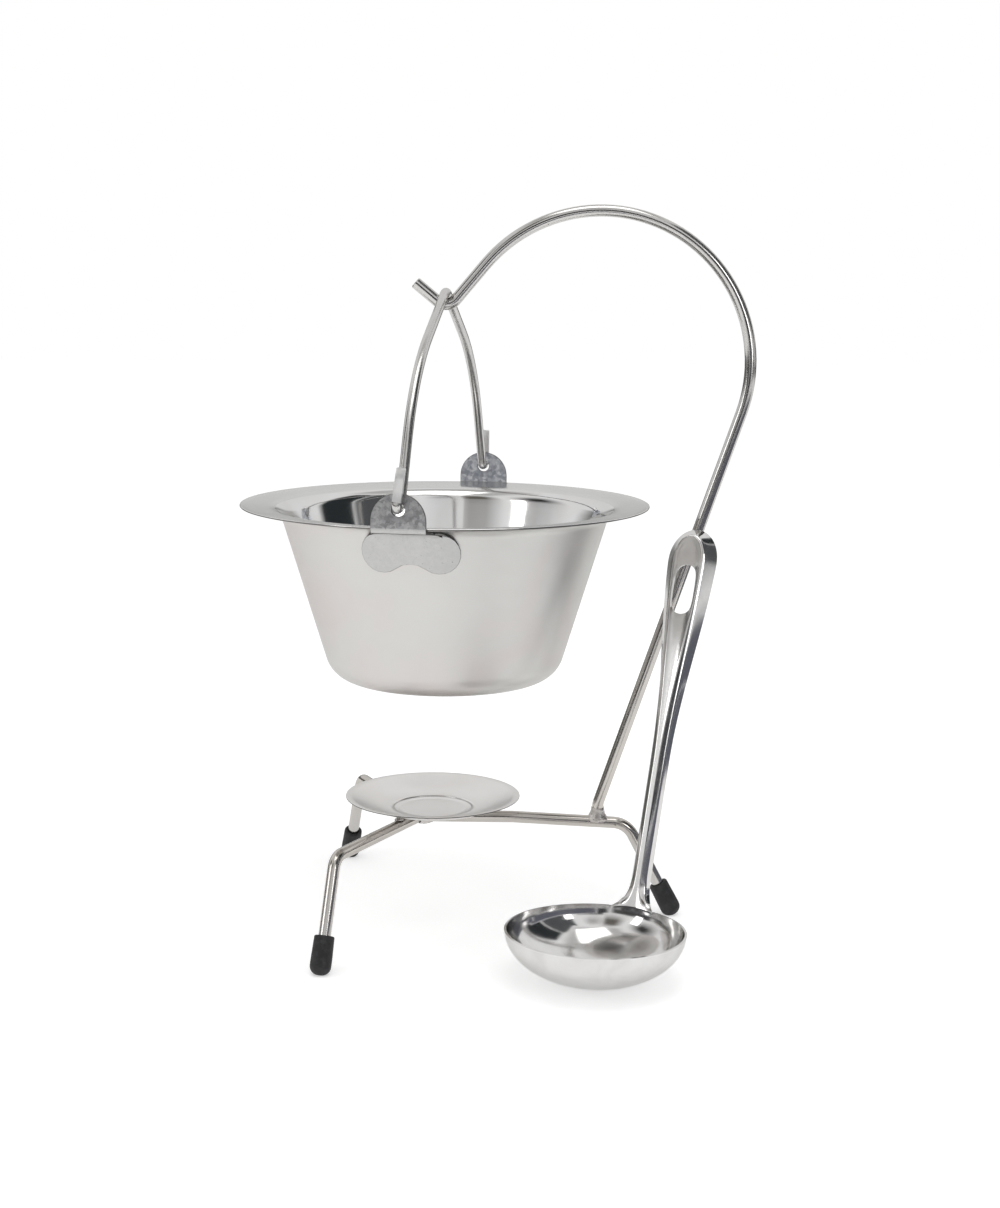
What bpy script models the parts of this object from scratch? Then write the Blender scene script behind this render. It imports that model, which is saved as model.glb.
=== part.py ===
"""Mini serving cauldron that hangs by its bail from a bent-wire stand, with its ladle.

The stand is three bent rods: a V of two left legs, a spine that bends down into the right
leg, and a tall bowed arm with a hook. A shallow dish for the burner is welded over the hub.
X runs along the spine towards the arm and Z is up. The origin is the middle of the dish's
flat seat, so the feet stand below it at FLOOR_Z.
"""

from math import atan2, ceil, cos, hypot, pi, radians, sin, tan

import bmesh
import bpy
from mathutils import Matrix, Vector

MM = 0.001

# Fit between pieces that touch
GAP = 0.3 * MM
OVERRUN = 2.0 * MM

# Rods of the stand
ROD_DIAMETER = 6.0 * MM
ROD_CHAMFER = 0.6 * MM
LEG_BEND_RADIUS = 9.0 * MM
HUB_HEIGHT = 51.2 * MM
HUB_OFFSET = 6.5 * MM
HUB_BEND_RADIUS = 9.0 * MM
LEFT_LEG_REACH = 82.7 * MM
LEFT_LEG_ANGLE = radians(116.3)
LEFT_FOOT_REACH = 106.3 * MM
LEFT_FOOT_ANGLE = radians(114.4)
LEFT_FOOT_SKEW = 1.7 * MM
SPINE_LEVEL_REACH = 48.0 * MM
SPINE_SAG = radians(2.7)
SPINE_SAG_RADIUS = 90.0 * MM
SPINE_REACH = 106.4 * MM
SPINE_KNEE_RADIUS = 12.0 * MM
RIGHT_FOOT_REACH = 131.8 * MM

# Arm: a short stub, a leaning post, a round bow and a V hook with a short tip
ARM_REACH = 91.3 * MM
ARM_STUB = 6.1 * MM
ARM_STUB_RADIUS = 9.0 * MM
ARM_LEAN = radians(18.7)
ARM_POST = 212.0 * MM
BOW_RADIUS = 74.5 * MM
BOW_DESCENT = radians(49.9)
HOOK_DESCENT = 28.8 * MM
HOOK_RADIUS = 6.5 * MM
HOOK_TIP_RISE = radians(39.5)
HOOK_TIP = 20.6 * MM

# Rubber foot caps
CAP_LENGTH = 18.6 * MM
CAP_TOP_DIAMETER = 9.7 * MM
CAP_DIAMETER = 10.3 * MM
CAP_BELLY_HEIGHT = 7.5 * MM
CAP_ROUNDING = 4.4 * MM
CAP_LIP = 0.8 * MM
CAP_FLOOR = 4.2 * MM
CAP_FLAT_DEPTH = 0.6 * MM

# Burner dish
DISH_SHEET = 1.0 * MM
DISH_DIAMETER = 89.4 * MM
DISH_HEIGHT = 7.2 * MM
DISH_SEAT_DIAMETER = 37.0 * MM
DISH_STEP = 0.9 * MM
DISH_STEP_WIDTH = 1.0 * MM
DISH_FOOT_DIAMETER = 52.0 * MM
DISH_CURVE = 33.0 * MM
DISH_LIP_WIDTH = 3.0 * MM
DISH_LIP_DROP = 0.25 * MM

# Weld beads
WELD_LEG = 1.1 * MM
WELD_HEIGHT = 2.7 * MM
HUB_WELD_REACH = 6.2 * MM
HUB_WELD_SAG = 1.2 * MM
HUB_WELD_COVER = 0.9 * MM
DISH_WELD_LENGTH = 8.0 * MM
DISH_WELD_WIDTH = 5.6 * MM
DISH_WELD_DEPTH = 3.2 * MM
DISH_WELD_RADIUS = 25.0 * MM

# Cauldron, a drawn shell with a wide flat rim
POT_SHEET = 0.9 * MM
POT_RIM_DIAMETER = 205.0 * MM
POT_MOUTH_DIAMETER = 164.2 * MM
POT_RIM_DIP = 1.6 * MM
POT_RIM_CURL = 0.5 * MM
POT_RIM_CURL_WIDTH = 2.5 * MM
POT_NECK_RADIUS = 8.0 * MM
POT_DEPTH = 89.3 * MM
POT_BASE_DIAMETER = 113.0 * MM
POT_BASE_RADIUS = 16.0 * MM

# Bail, a round rod with a pressed, upturned end through each ear
BAIL_DIAMETER = 4.7 * MM
BAIL_TURN = radians(9.3)
BAIL_HEIGHT = 94.9 * MM
BAIL_PEAK_RADIUS = 8.0 * MM
BAIL_ROOF_SLOPE = radians(27.5)
BAIL_SHOULDER_REACH = 71.5 * MM
BAIL_SHOULDER_RADIUS = 100.0 * MM
BAIL_ANKLE_RADIUS = 4.6 * MM
BAIL_TAB_RADIUS = 3.4 * MM
BAIL_TAB_HEIGHT = 18.8 * MM
BAIL_TAB_ASIDE = 2.4 * MM
BAIL_PIN_STRAIGHT = 0.6 * MM
BAIL_TAB_THICKNESS = 2.7 * MM
BAIL_TAB_WIDTH = 4.4 * MM
BAIL_TAB_TRANSITION = 4.0 * MM

# Ears, folded from sheet: a half-round tab, a neck under the rim and a two-lobed wall plate
EAR_SHEET = 1.2 * MM
EAR_TAB_WIDTH = 25.8 * MM
EAR_TAB_ABOVE_RIM = 16.2 * MM
EAR_HOLE_DROP = 7.5 * MM
EAR_HOLE_DIAMETER = 6.3 * MM
EAR_TAB_FOLD_RADIUS = 1.6 * MM
EAR_RIM_CLEARANCE = 0.5 * MM
EAR_LOBE_RADIUS = 10.5 * MM
EAR_LOBE_SPREAD = 13.4 * MM
EAR_LOBE_DROP = 14.2 * MM
EAR_NOTCH_DROP = 19.8 * MM
EAR_NECK_WIDTH = 25.0 * MM
EAR_FOLD_STEP = 8.0 * MM

# Ladle, one pressed sheet: a round bowl and a channel handle with a leaf-shaped top
LADLE_SHEET = 1.1 * MM
LADLE_AZIMUTH = radians(27.9)
LADLE_TILT = radians(1.7)
LADLE_LEAN = radians(17.3)
LADLE_BOWL_DIAMETER = 85.6 * MM
LADLE_BOWL_DEPTH = 25.3 * MM
LADLE_REST_OFFSET = 1.0 * MM
HANDLE_LENGTH = 190.0 * MM
HANDLE_TIP = 16.0 * MM
HANDLE_FLARE = 17.0 * MM
HANDLE_ROOT_SPAN = radians(24.0)
HANDLE_SWELL_LENGTH = 110.0 * MM
HANDLE_SWELL_TO_TOP = 7.0 * MM
HANDLE_NECK_FACET = 5.8 * MM
HANDLE_NECK_WIDTH = 9.2 * MM
HANDLE_LEAF_FACET = 14.4 * MM
HANDLE_LEAF_WIDTH = 26.6 * MM
HANDLE_DEPTH = 5.5 * MM
HANDLE_EDGE = 1.0 * MM
HANDLE_EDGE_DEPTH = 0.9 * MM
HANDLE_LEAF_DISH = 0.9 * MM
SLOT_WIDTH = 10.6 * MM
SLOT_LENGTH = 24.8 * MM
SLOT_TO_TOP = 19.2 * MM

# Facets
ROD_SIDES = 12
ARC_STEP = radians(9.0)
BOW_STEP = radians(8.0)
POT_STEPS = 52
DISH_STEPS = 36
CAP_STEPS = 16
WELD_STEPS = 12
BOWL_RINGS = 6
HANDLE_ROWS = 14
HANDLE_FLARE_ROWS = 6
HANDLE_TIP_ROWS = 6
HANDLE_COLUMNS = 4
BOWL_STEPS = round(2 * pi * HANDLE_COLUMNS / HANDLE_ROOT_SPAN)
EAR_HOLE_STEPS = 18

# Places that follow from the sizes
ROD_RADIUS = ROD_DIAMETER / 2
BAIL_RADIUS = BAIL_DIAMETER / 2
ROD_Z = -(DISH_SHEET + GAP + ROD_RADIUS)
FLOOR_Z = ROD_Z - HUB_HEIGHT
HUB = Vector((-HUB_OFFSET, 0.0, ROD_Z))
UP = Vector((0.0, 0.0, 1.0))


def heading(angle):
    """A level unit vector, turned from +X towards +Y."""
    return Vector((cos(angle), sin(angle), 0.0))


def smooth_step(value):
    """A rise from 0 to 1 that starts and ends level."""
    value = min(max(value, 0.0), 1.0)
    return value * value * (3.0 - 2.0 * value)


def clear_scene():
    for item in list(bpy.data.objects):
        bpy.data.objects.remove(item, do_unlink=True)


def new_collection(name):
    collection = bpy.data.collections.new(name)
    bpy.context.scene.collection.children.link(collection)
    return collection


def new_material(name, color, metallic, roughness):
    made = bpy.data.materials.new(name)
    made.use_nodes = True
    shader = made.node_tree.nodes["Principled BSDF"]
    shader.inputs["Base Color"].default_value = (*color, 1.0)
    shader.inputs["Metallic"].default_value = metallic
    shader.inputs["Roughness"].default_value = roughness
    return made


clear_scene()
PARTS = new_collection("mini_cauldron_on_stand")
CUTTERS = new_collection("cutters")

STAINLESS_ROD = new_material("drawn_stainless_rod", (0.62, 0.62, 0.61), 1.0, 0.22)
STAINLESS_SHEET = new_material("satin_stainless_sheet", (0.70, 0.69, 0.67), 1.0, 0.16)
STAINLESS_LADLE = new_material("polished_stainless", (0.72, 0.72, 0.72), 1.0, 0.08)
ZINC_SHEET = new_material("spangled_zinc_sheet", (0.42, 0.43, 0.45), 0.9, 0.42)
WELD_METAL = new_material("heat_tinted_weld", (0.36, 0.31, 0.27), 0.9, 0.45)
BLACK_RUBBER = new_material("black_rubber", (0.015, 0.015, 0.016), 0.0, 0.7)


def add_object(name, data, material, parent=None, collection=PARTS):
    made = bpy.data.objects.new(name, data)
    collection.objects.link(made)
    if material is not None:
        made.data.materials.append(material)
    made.parent = parent
    return made


def add_pivot(name, place, parent=None, turn=0.0, tilt=0.0):
    """An empty on a joint's axis, tilted and then turned, which carries the moving pieces."""
    pivot = bpy.data.objects.new(name, None)
    PARTS.objects.link(pivot)
    pivot.parent = parent
    pivot.location = place
    pivot.rotation_euler = (tilt, 0.0, turn)
    return pivot


def filleted(corners, step=ARC_STEP):
    """Points along straight runs, with an arc of each corner's own radius.

    corners is a list of (point, radius), where a radius of 0 keeps the corner sharp.
    """
    path = []
    for index, (corner, radius) in enumerate(corners):
        if radius == 0.0 or index in (0, len(corners) - 1):
            path.append(corner.copy())
            continue
        before = (corners[index - 1][0] - corner).normalized()
        after = (corners[index + 1][0] - corner).normalized()
        half = before.angle(after) / 2
        center = corner + (before + after).normalized() * (radius / sin(half))
        start = corner + before * (radius / tan(half)) - center
        end = corner + after * (radius / tan(half)) - center
        sweep = pi - 2 * half
        steps = max(2, ceil(sweep / step))
        for count in range(steps + 1):
            share = count / steps
            blend = start * sin((1 - share) * sweep) + end * sin(share * sweep)
            path.append(center + blend / sin(sweep))
    return path


def as_mesh(item):
    """The evaluated mesh of a curve, with its caps welded, in place of the curve."""
    bpy.context.view_layer.update()
    graph = bpy.context.evaluated_depsgraph_get()
    mesh = bpy.data.meshes.new_from_object(item.evaluated_get(graph))
    welded = bmesh.new()
    welded.from_mesh(mesh)
    bmesh.ops.remove_doubles(welded, verts=welded.verts, dist=GAP / 100)
    welded.to_mesh(mesh)
    welded.free()
    name, place, parent = item.name, item.matrix_world.copy(), item.parent
    bpy.data.objects.remove(item, do_unlink=True)
    made = add_object(name, mesh, None, parent)
    made.matrix_world = place
    return made


def add_rod(name, path, diameter, chamfer, material, parent=None):
    """A round rod along a path, with its cut ends chamfered."""
    curve = bpy.data.curves.new(name, "CURVE")
    curve.dimensions = "3D"
    curve.bevel_depth = diameter / 2
    curve.bevel_resolution = (ROD_SIDES - 4) // 2
    curve.use_fill_caps = True
    first = path[0] + (path[1] - path[0]).normalized() * chamfer
    last = path[-1] + (path[-2] - path[-1]).normalized() * chamfer
    points = [path[0], first, *path[1:-1], last, path[-1]]
    spline = curve.splines.new("POLY")
    spline.points.add(len(points) - 1)
    for point, place in zip(spline.points, points):
        point.co = (*place, 1.0)
    end_share = 1 - 2 * chamfer / diameter
    spline.points[0].radius = end_share
    spline.points[-1].radius = end_share
    return add_object(name, curve, material, parent)


def add_turned(name, profile, steps, material, sheet=0.0, parent=None, collection=PARTS):
    """A profile of (radius, height) points spun about Z.

    A solid's profile ends on the axis and runs down its outer side. With sheet, the profile
    is the outer face of a shell of that thickness.
    """
    mesh = bpy.data.meshes.new(name)
    edges = [(index, index + 1) for index in range(len(profile) - 1)]
    mesh.from_pydata([(radius, 0.0, height) for radius, height in profile], edges, [])
    made = add_object(name, mesh, material, parent, collection)
    screw = made.modifiers.new("spin", "SCREW")
    screw.steps = steps
    screw.render_steps = steps
    screw.use_merge_vertices = True
    screw.merge_threshold = GAP / 100
    screw.use_smooth_shade = True
    if sheet:
        shell = made.modifiers.new("sheet", "SOLIDIFY")
        shell.thickness = sheet
        shell.offset = -1.0
        shell.use_even_offset = True
    return made


def profile_from(corners, step=ARC_STEP):
    """A turned profile from (radius, height, corner radius) triples."""
    placed = [(Vector((radius, 0.0, height)), rounding) for radius, height, rounding in corners]
    return [(point.x, point.z) for point in filleted(placed, step)]


def cut(target, cutter):
    """Take the cutter's shape out of the target."""
    trim = target.modifiers.new("cut_" + cutter.name, "BOOLEAN")
    trim.operation = "DIFFERENCE"
    trim.solver = "EXACT"
    trim.object = cutter


def as_cutter(item):
    item.hide_render = True
    item.display_type = "WIRE"
    return item


def add_rod_space(name, path):
    """The space that a rod takes, with the gap all round it and past its ends."""
    first = path[0] + (path[0] - path[1]).normalized() * GAP
    last = path[-1] + (path[-1] - path[-2]).normalized() * GAP
    grown = [first, *path[1:-1], last]
    space = as_mesh(add_rod(name, grown, ROD_DIAMETER + 2 * GAP, ROD_CHAMFER, None))
    PARTS.objects.unlink(space)
    CUTTERS.objects.link(space)
    return as_cutter(space)


# The stand's rods

def leg_end(foot, knee):
    """Where a leg's rod stops inside its cap, and the cap's own lowest end on that line."""
    along = (knee - foot).normalized()
    tilt = along.angle(UP)
    toe = CAP_ROUNDING + (CAP_DIAMETER / 2 - CAP_ROUNDING) * sin(tilt)
    inset = (toe - CAP_FLAT_DEPTH) / cos(tilt) - CAP_ROUNDING
    cap_end = foot + along * inset
    return cap_end + along * (CAP_FLOOR + GAP), cap_end, along


def left_leg_corners(side):
    """Knee and foot of the back left leg's rod for a side of 1, or of the front one for -1.

    The V is bent by hand, and its front foot stands a little nearer the arm.
    """
    knee = HUB + heading(side * LEFT_LEG_ANGLE) * LEFT_LEG_REACH
    foot = HUB + heading(side * LEFT_FOOT_ANGLE) * LEFT_FOOT_REACH - UP * HUB_HEIGHT
    foot.x -= side * LEFT_FOOT_SKEW
    return knee, foot


def left_legs_path():
    """The V at the hub, with a leg bent down at each end."""
    back_knee, back_foot = left_leg_corners(1)
    front_knee, front_foot = left_leg_corners(-1)
    corners = [
        (leg_end(back_foot, back_knee)[0], 0.0),
        (back_knee, LEG_BEND_RADIUS),
        (HUB, HUB_BEND_RADIUS),
        (front_knee, LEG_BEND_RADIUS),
        (leg_end(front_foot, front_knee)[0], 0.0),
    ]
    return filleted(corners)


def hub_front():
    """How far the V's outside lies ahead of the hub on the spine's line."""
    half = pi - LEFT_LEG_ANGLE
    return ROD_RADIUS - HUB_BEND_RADIUS * (1 / sin(half) - 1)


def spine_point(reach):
    """A point of the spine's axis: level at first, then sagging a little to the knee."""
    fall = max(reach - SPINE_LEVEL_REACH, 0.0) * tan(SPINE_SAG)
    return HUB + Vector((reach, 0.0, -fall))


def right_leg_corners():
    """Knee and foot of the right leg's rod."""
    return spine_point(SPINE_REACH), HUB + Vector((RIGHT_FOOT_REACH, 0.0, -HUB_HEIGHT))


def spine_leg_path():
    """The spine runs from the hub towards the arm and bends down into the right leg."""
    start = HUB + Vector((hub_front() + GAP, 0.0, 0.0))
    knee, foot = right_leg_corners()
    corners = [
        (start, 0.0),
        (spine_point(SPINE_LEVEL_REACH), SPINE_SAG_RADIUS),
        (knee, SPINE_KNEE_RADIUS),
        (leg_end(foot, knee)[0], 0.0),
    ]
    return filleted(corners)


def arm_foot():
    """The arm's cut end, clear of the spine on the side where the spine is higher."""
    return spine_point(ARM_REACH) + UP * (ROD_RADIUS + GAP + ROD_RADIUS * tan(SPINE_SAG))


def arm_corners():
    """The arm's corners, and the lowest point of its hook."""
    foot = arm_foot()
    knee = foot + UP * ARM_STUB
    lean = Vector((sin(ARM_LEAN), 0.0, cos(ARM_LEAN)))
    side = Vector((cos(ARM_LEAN), 0.0, -sin(ARM_LEAN)))
    center = knee + lean * ARM_POST - side * BOW_RADIUS
    sweep = pi / 2 + BOW_DESCENT + ARM_LEAN
    steps = ceil(sweep / BOW_STEP)
    bow = []
    for count in range(steps + 1):
        angle = sweep * count / steps - ARM_LEAN
        bow.append((center + Vector((cos(angle), 0.0, sin(angle))) * BOW_RADIUS, 0.0))
    down = Vector((-cos(BOW_DESCENT), 0.0, -sin(BOW_DESCENT)))
    rise = Vector((-cos(HOOK_TIP_RISE), 0.0, sin(HOOK_TIP_RISE)))
    corner = bow[-1][0] + down * HOOK_DESCENT
    tip = corner + rise * HOOK_TIP
    half = (rise.angle(-down)) / 2
    hook_center = corner + (rise - down).normalized() * (HOOK_RADIUS / sin(half))
    hook_low = hook_center - UP * HOOK_RADIUS
    corners = [(foot, 0.0), (knee, ARM_STUB_RADIUS), *bow, (corner, HOOK_RADIUS), (tip, 0.0)]
    return corners, hook_low


# Rubber caps

def add_foot_cap(name, knee, foot):
    """A blind rubber cap pushed over a leg's end, pressed flat where it stands."""
    cap_end, along = leg_end(foot, knee)[1:]
    bore = ROD_RADIUS + GAP
    profile = profile_from([
        (0.0, CAP_FLOOR, 0.0),
        (bore, CAP_FLOOR, 0.0),
        (bore, CAP_LENGTH, 0.0),
        (CAP_TOP_DIAMETER / 2, CAP_LENGTH, CAP_LIP),
        (CAP_DIAMETER / 2, CAP_BELLY_HEIGHT, 0.0),
        (CAP_DIAMETER / 2, 0.0, CAP_ROUNDING),
        (0.0, 0.0, 0.0),
    ], 2 * ARC_STEP)
    cap = add_turned(name, profile, CAP_STEPS, BLACK_RUBBER)
    cap.matrix_world = Matrix.Translation(cap_end) @ along.to_track_quat("Z", "Y").to_matrix().to_4x4()
    cut(cap, FLOOR_CUTTER)
    return cap


def add_floor_cutter():
    """A slab whose top is the floor, which flattens the caps."""
    width = 3 * RIGHT_FOOT_REACH
    depth = CAP_LENGTH
    mesh = bpy.data.meshes.new("floor_slab")
    built = bmesh.new()
    bmesh.ops.create_cube(built, size=1.0, matrix=Matrix.Diagonal((width, width, depth, 1.0)))
    built.to_mesh(mesh)
    built.free()
    slab = add_object("floor_slab", mesh, None, None, CUTTERS)
    slab.location = (0.0, 0.0, FLOOR_Z - depth / 2)
    return as_cutter(slab)


# Welds

def add_arm_weld():
    """A fillet bead round the arm's foot, saddled over the spine."""
    foot = arm_foot()
    bore = ROD_RADIUS + GAP
    bead = bore + WELD_LEG
    saddle = ROD_RADIUS * 2 / 3
    profile = profile_from([
        (bore, -saddle, 0.0),
        (bore, WELD_HEIGHT, 0.0),
        (bore + WELD_LEG / 4, WELD_HEIGHT, 0.0),
        (bore + WELD_LEG / 2, WELD_HEIGHT / 3, 0.0),
        (bead, -GAP, 0.0),
        (bead, -saddle, 0.0),
        (bore, -saddle, 0.0),
    ])
    weld = add_turned("arm_weld", profile, WELD_STEPS, WELD_METAL)
    weld.location = foot
    cut(weld, SPINE_SPACE)
    return weld


def add_bead(name, place):
    """A ball of weld metal, stretched and put in its place by a matrix."""
    mesh = bpy.data.meshes.new(name)
    built = bmesh.new()
    rings = WELD_STEPS // 2
    bmesh.ops.create_uvsphere(built, u_segments=WELD_STEPS, v_segments=rings, radius=1.0, matrix=place)
    built.to_mesh(mesh)
    built.free()
    return add_object(name, mesh, WELD_METAL)


def add_hub_weld():
    """Metal that fills the corners between the spine's end and the V, and joins under them."""
    middle = HUB + Vector((hub_front(), 0.0, -HUB_WELD_SAG))
    depth = ROD_RADIUS + GAP + HUB_WELD_COVER - HUB_WELD_SAG
    size = Matrix.Diagonal((HUB_WELD_REACH, HUB_WELD_REACH, depth, 1.0))
    weld = add_bead("hub_weld", Matrix.Translation(middle) @ size)
    cut(weld, SPINE_SPACE)
    cut(weld, LEFT_SPACE)
    return weld


def add_dish_weld(name, angle, rod_space):
    """A bead saddled over a rod, in the wedge where the dish's underside leaves it."""
    out = heading(angle)
    aside = HUB_OFFSET * sin(angle)
    reach = HUB_OFFSET * cos(angle) + (DISH_WELD_RADIUS * DISH_WELD_RADIUS - aside * aside) ** 0.5
    middle = HUB + out * reach + UP * (ROD_RADIUS + GAP)
    size = Matrix.Diagonal((DISH_WELD_LENGTH / 2, DISH_WELD_WIDTH / 2, DISH_WELD_DEPTH / 2, 1.0))
    weld = add_bead(name, Matrix.Translation(middle) @ Matrix.Rotation(angle, 4, "Z") @ size)
    cut(weld, rod_space)
    cut(weld, DISH_SPACE)
    return weld


# Burner dish

def dish_profile():
    """The dish's underside from its lip to its middle."""
    seat = DISH_SEAT_DIAMETER / 2
    rim = DISH_DIAMETER / 2
    return profile_from([
        (rim, DISH_HEIGHT - DISH_SHEET, 0.0),
        (rim - DISH_LIP_WIDTH, DISH_HEIGHT - DISH_SHEET - DISH_LIP_DROP, DISH_LIP_WIDTH),
        (DISH_FOOT_DIAMETER / 2, DISH_STEP - DISH_SHEET, DISH_CURVE),
        (seat + DISH_STEP_WIDTH, DISH_STEP - DISH_SHEET, 0.0),
        (seat, -DISH_SHEET, 0.0),
        (0.0, -DISH_SHEET, 0.0),
    ])


def add_burner_dish():
    """A shallow pressed dish with a flat, slightly sunk seat for the burner."""
    return add_turned("burner_dish", dish_profile(), DISH_STEPS, STAINLESS_SHEET, DISH_SHEET)


def add_dish_cutter():
    """The space that the dish takes, with the gap under it."""
    under = [(radius, height - GAP) for radius, height in dish_profile()]
    top = DISH_HEIGHT + OVERRUN
    profile = [(0.0, top), (under[0][0], top), *under]
    return as_cutter(add_turned("dish_space", profile, DISH_STEPS, None, collection=CUTTERS))


# Cauldron and ears

def pot_outer_corners():
    """The cauldron's outer face from the rim's edge to the base, with the rim's top at 0."""
    rim = POT_RIM_DIAMETER / 2
    neck = POT_MOUTH_DIAMETER / 2 + POT_SHEET
    return [
        (rim, -POT_SHEET, 0.0),
        (rim - POT_RIM_CURL_WIDTH, -POT_SHEET - POT_RIM_CURL, 0.0),
        (neck, -POT_SHEET - POT_RIM_DIP, POT_NECK_RADIUS),
        (POT_BASE_DIAMETER / 2, -POT_DEPTH, POT_BASE_RADIUS),
        (0.0, -POT_DEPTH, 0.0),
    ]


def add_cauldron(parent, place):
    """A deep-drawn shell: flat rim, tapered wall and round-cornered base."""
    profile = profile_from(pot_outer_corners(), ARC_STEP * 3 / 2)
    pot = add_turned("cauldron", profile, POT_STEPS, STAINLESS_SHEET, POT_SHEET, parent)
    pot.location = place
    return pot


def ear_fold_line():
    """The ear sheet's middle in (distance from the pot's axis, height above the rim)."""
    away = EAR_SHEET / 2 + GAP
    corners = pot_outer_corners()
    tab = POT_RIM_DIAMETER / 2 + EAR_RIM_CLEARANCE + EAR_SHEET / 2
    under = Vector((corners[1][0], 0.0, corners[1][1]))
    neck = Vector((corners[2][0], 0.0, corners[2][1]))
    base = Vector((corners[3][0], 0.0, corners[3][1]))
    rim_run = (neck - under).normalized()
    wall_run = (base - neck).normalized()
    half = (-rim_run).angle(wall_run) / 2
    inner = neck + (wall_run - rim_run).normalized() * (away / sin(half))
    outer = inner - rim_run * ((tab - inner.x) / -rim_run.x)
    lower = inner + wall_run * POT_DEPTH / 2
    top = Vector((tab, 0.0, EAR_TAB_ABOVE_RIM))
    return [(top, 0.0), (outer, EAR_TAB_FOLD_RADIUS), (inner, POT_NECK_RADIUS - away), (lower, 0.0)]


def ear_outline():
    """The flat blank: tab, neck and lobes, and the heights along it where it folds.

    Across is x and down the sheet from the tab's top is y.
    """
    path = filleted(ear_fold_line(), 2 * ARC_STEP)
    lengths = [0.0]
    for before, after in zip(path, path[1:]):
        lengths.append(lengths[-1] + (after - before).length)

    def length_at(drop):
        """The distance down the sheet to a height below the rim, on the wall plate."""
        for index in range(len(path) - 1, 0, -1):
            upper, below = path[index - 1], path[index]
            if upper.z >= -drop:
                share = (upper.z + drop) / (upper.z - below.z)
                return lengths[index - 1] + share * (lengths[index] - lengths[index - 1])
        return lengths[-1]

    lobe_y = length_at(EAR_LOBE_DROP)
    notch_y = length_at(EAR_NOTCH_DROP)
    tab = EAR_TAB_WIDTH / 2
    steps = ceil(pi / 2 / ARC_STEP)
    right = []
    for count in range(steps + 1):
        angle = pi / 2 * count / steps
        right.append((tab * sin(angle), tab - tab * cos(angle)))
    fold_y = lengths[1] + EAR_TAB_FOLD_RADIUS
    right.append((tab, fold_y))
    right.append((EAR_NECK_WIDTH / 2, fold_y + (tab - EAR_NECK_WIDTH / 2)))
    lobe_top = lobe_y - EAR_LOBE_RADIUS
    right.append((EAR_NECK_WIDTH / 2, lobe_top))
    notch = (lobe_y + EAR_LOBE_RADIUS - notch_y) / EAR_LOBE_RADIUS
    last = pi + notch * pi / 4
    lobe_steps = ceil(last / (2 * ARC_STEP))
    for count in range(lobe_steps + 1):
        angle = last * count / lobe_steps
        right.append((EAR_LOBE_SPREAD + EAR_LOBE_RADIUS * sin(angle), lobe_y - EAR_LOBE_RADIUS * cos(angle)))
    right.append((EAR_LOBE_RADIUS / 3, notch_y + GAP))
    right.append((0.0, notch_y))
    left = [(-x, y) for x, y in reversed(right[1:-1])]
    return right + left, path, lengths


def fold_point(across, down, off, path, lengths):
    """Where a point of the flat blank lands after folding, in the pot's own frame.

    The tab stays flat, and the sheet wraps round the pot as it reaches the wall.
    """
    index = 1
    while index < len(path) - 1 and down > lengths[index]:
        index += 1
    span = lengths[index] - lengths[index - 1]
    share = (down - lengths[index - 1]) / span
    run = (path[index] - path[index - 1]).normalized()
    middle = path[index - 1].lerp(path[index], share)
    normals = []
    for near in (index - 1, index):
        before = path[max(near - 1, 0)]
        after = path[min(near + 1, len(path) - 1)]
        tangent = (after - before).normalized()
        normals.append(Vector((-tangent.z, 0.0, tangent.x)))
    normal = normals[0].lerp(normals[1], min(max(share, 0.0), 1.0))
    normal /= max(normal.dot(Vector((-run.z, 0.0, run.x))), 0.5)
    reach = middle.x + normal.x * off
    height = middle.z + normal.z * off
    wrap_start = lengths[1] + 2 * EAR_TAB_FOLD_RADIUS
    wrap_end = wrap_start + (POT_RIM_DIAMETER - POT_MOUTH_DIAMETER) / 4
    wrap = smooth_step((down - wrap_start) / (wrap_end - wrap_start))
    angle = across / middle.x
    flat = Vector((across, reach, height))
    round_ = Vector((reach * sin(angle), reach * cos(angle), height))
    return flat.lerp(round_, wrap)


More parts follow.
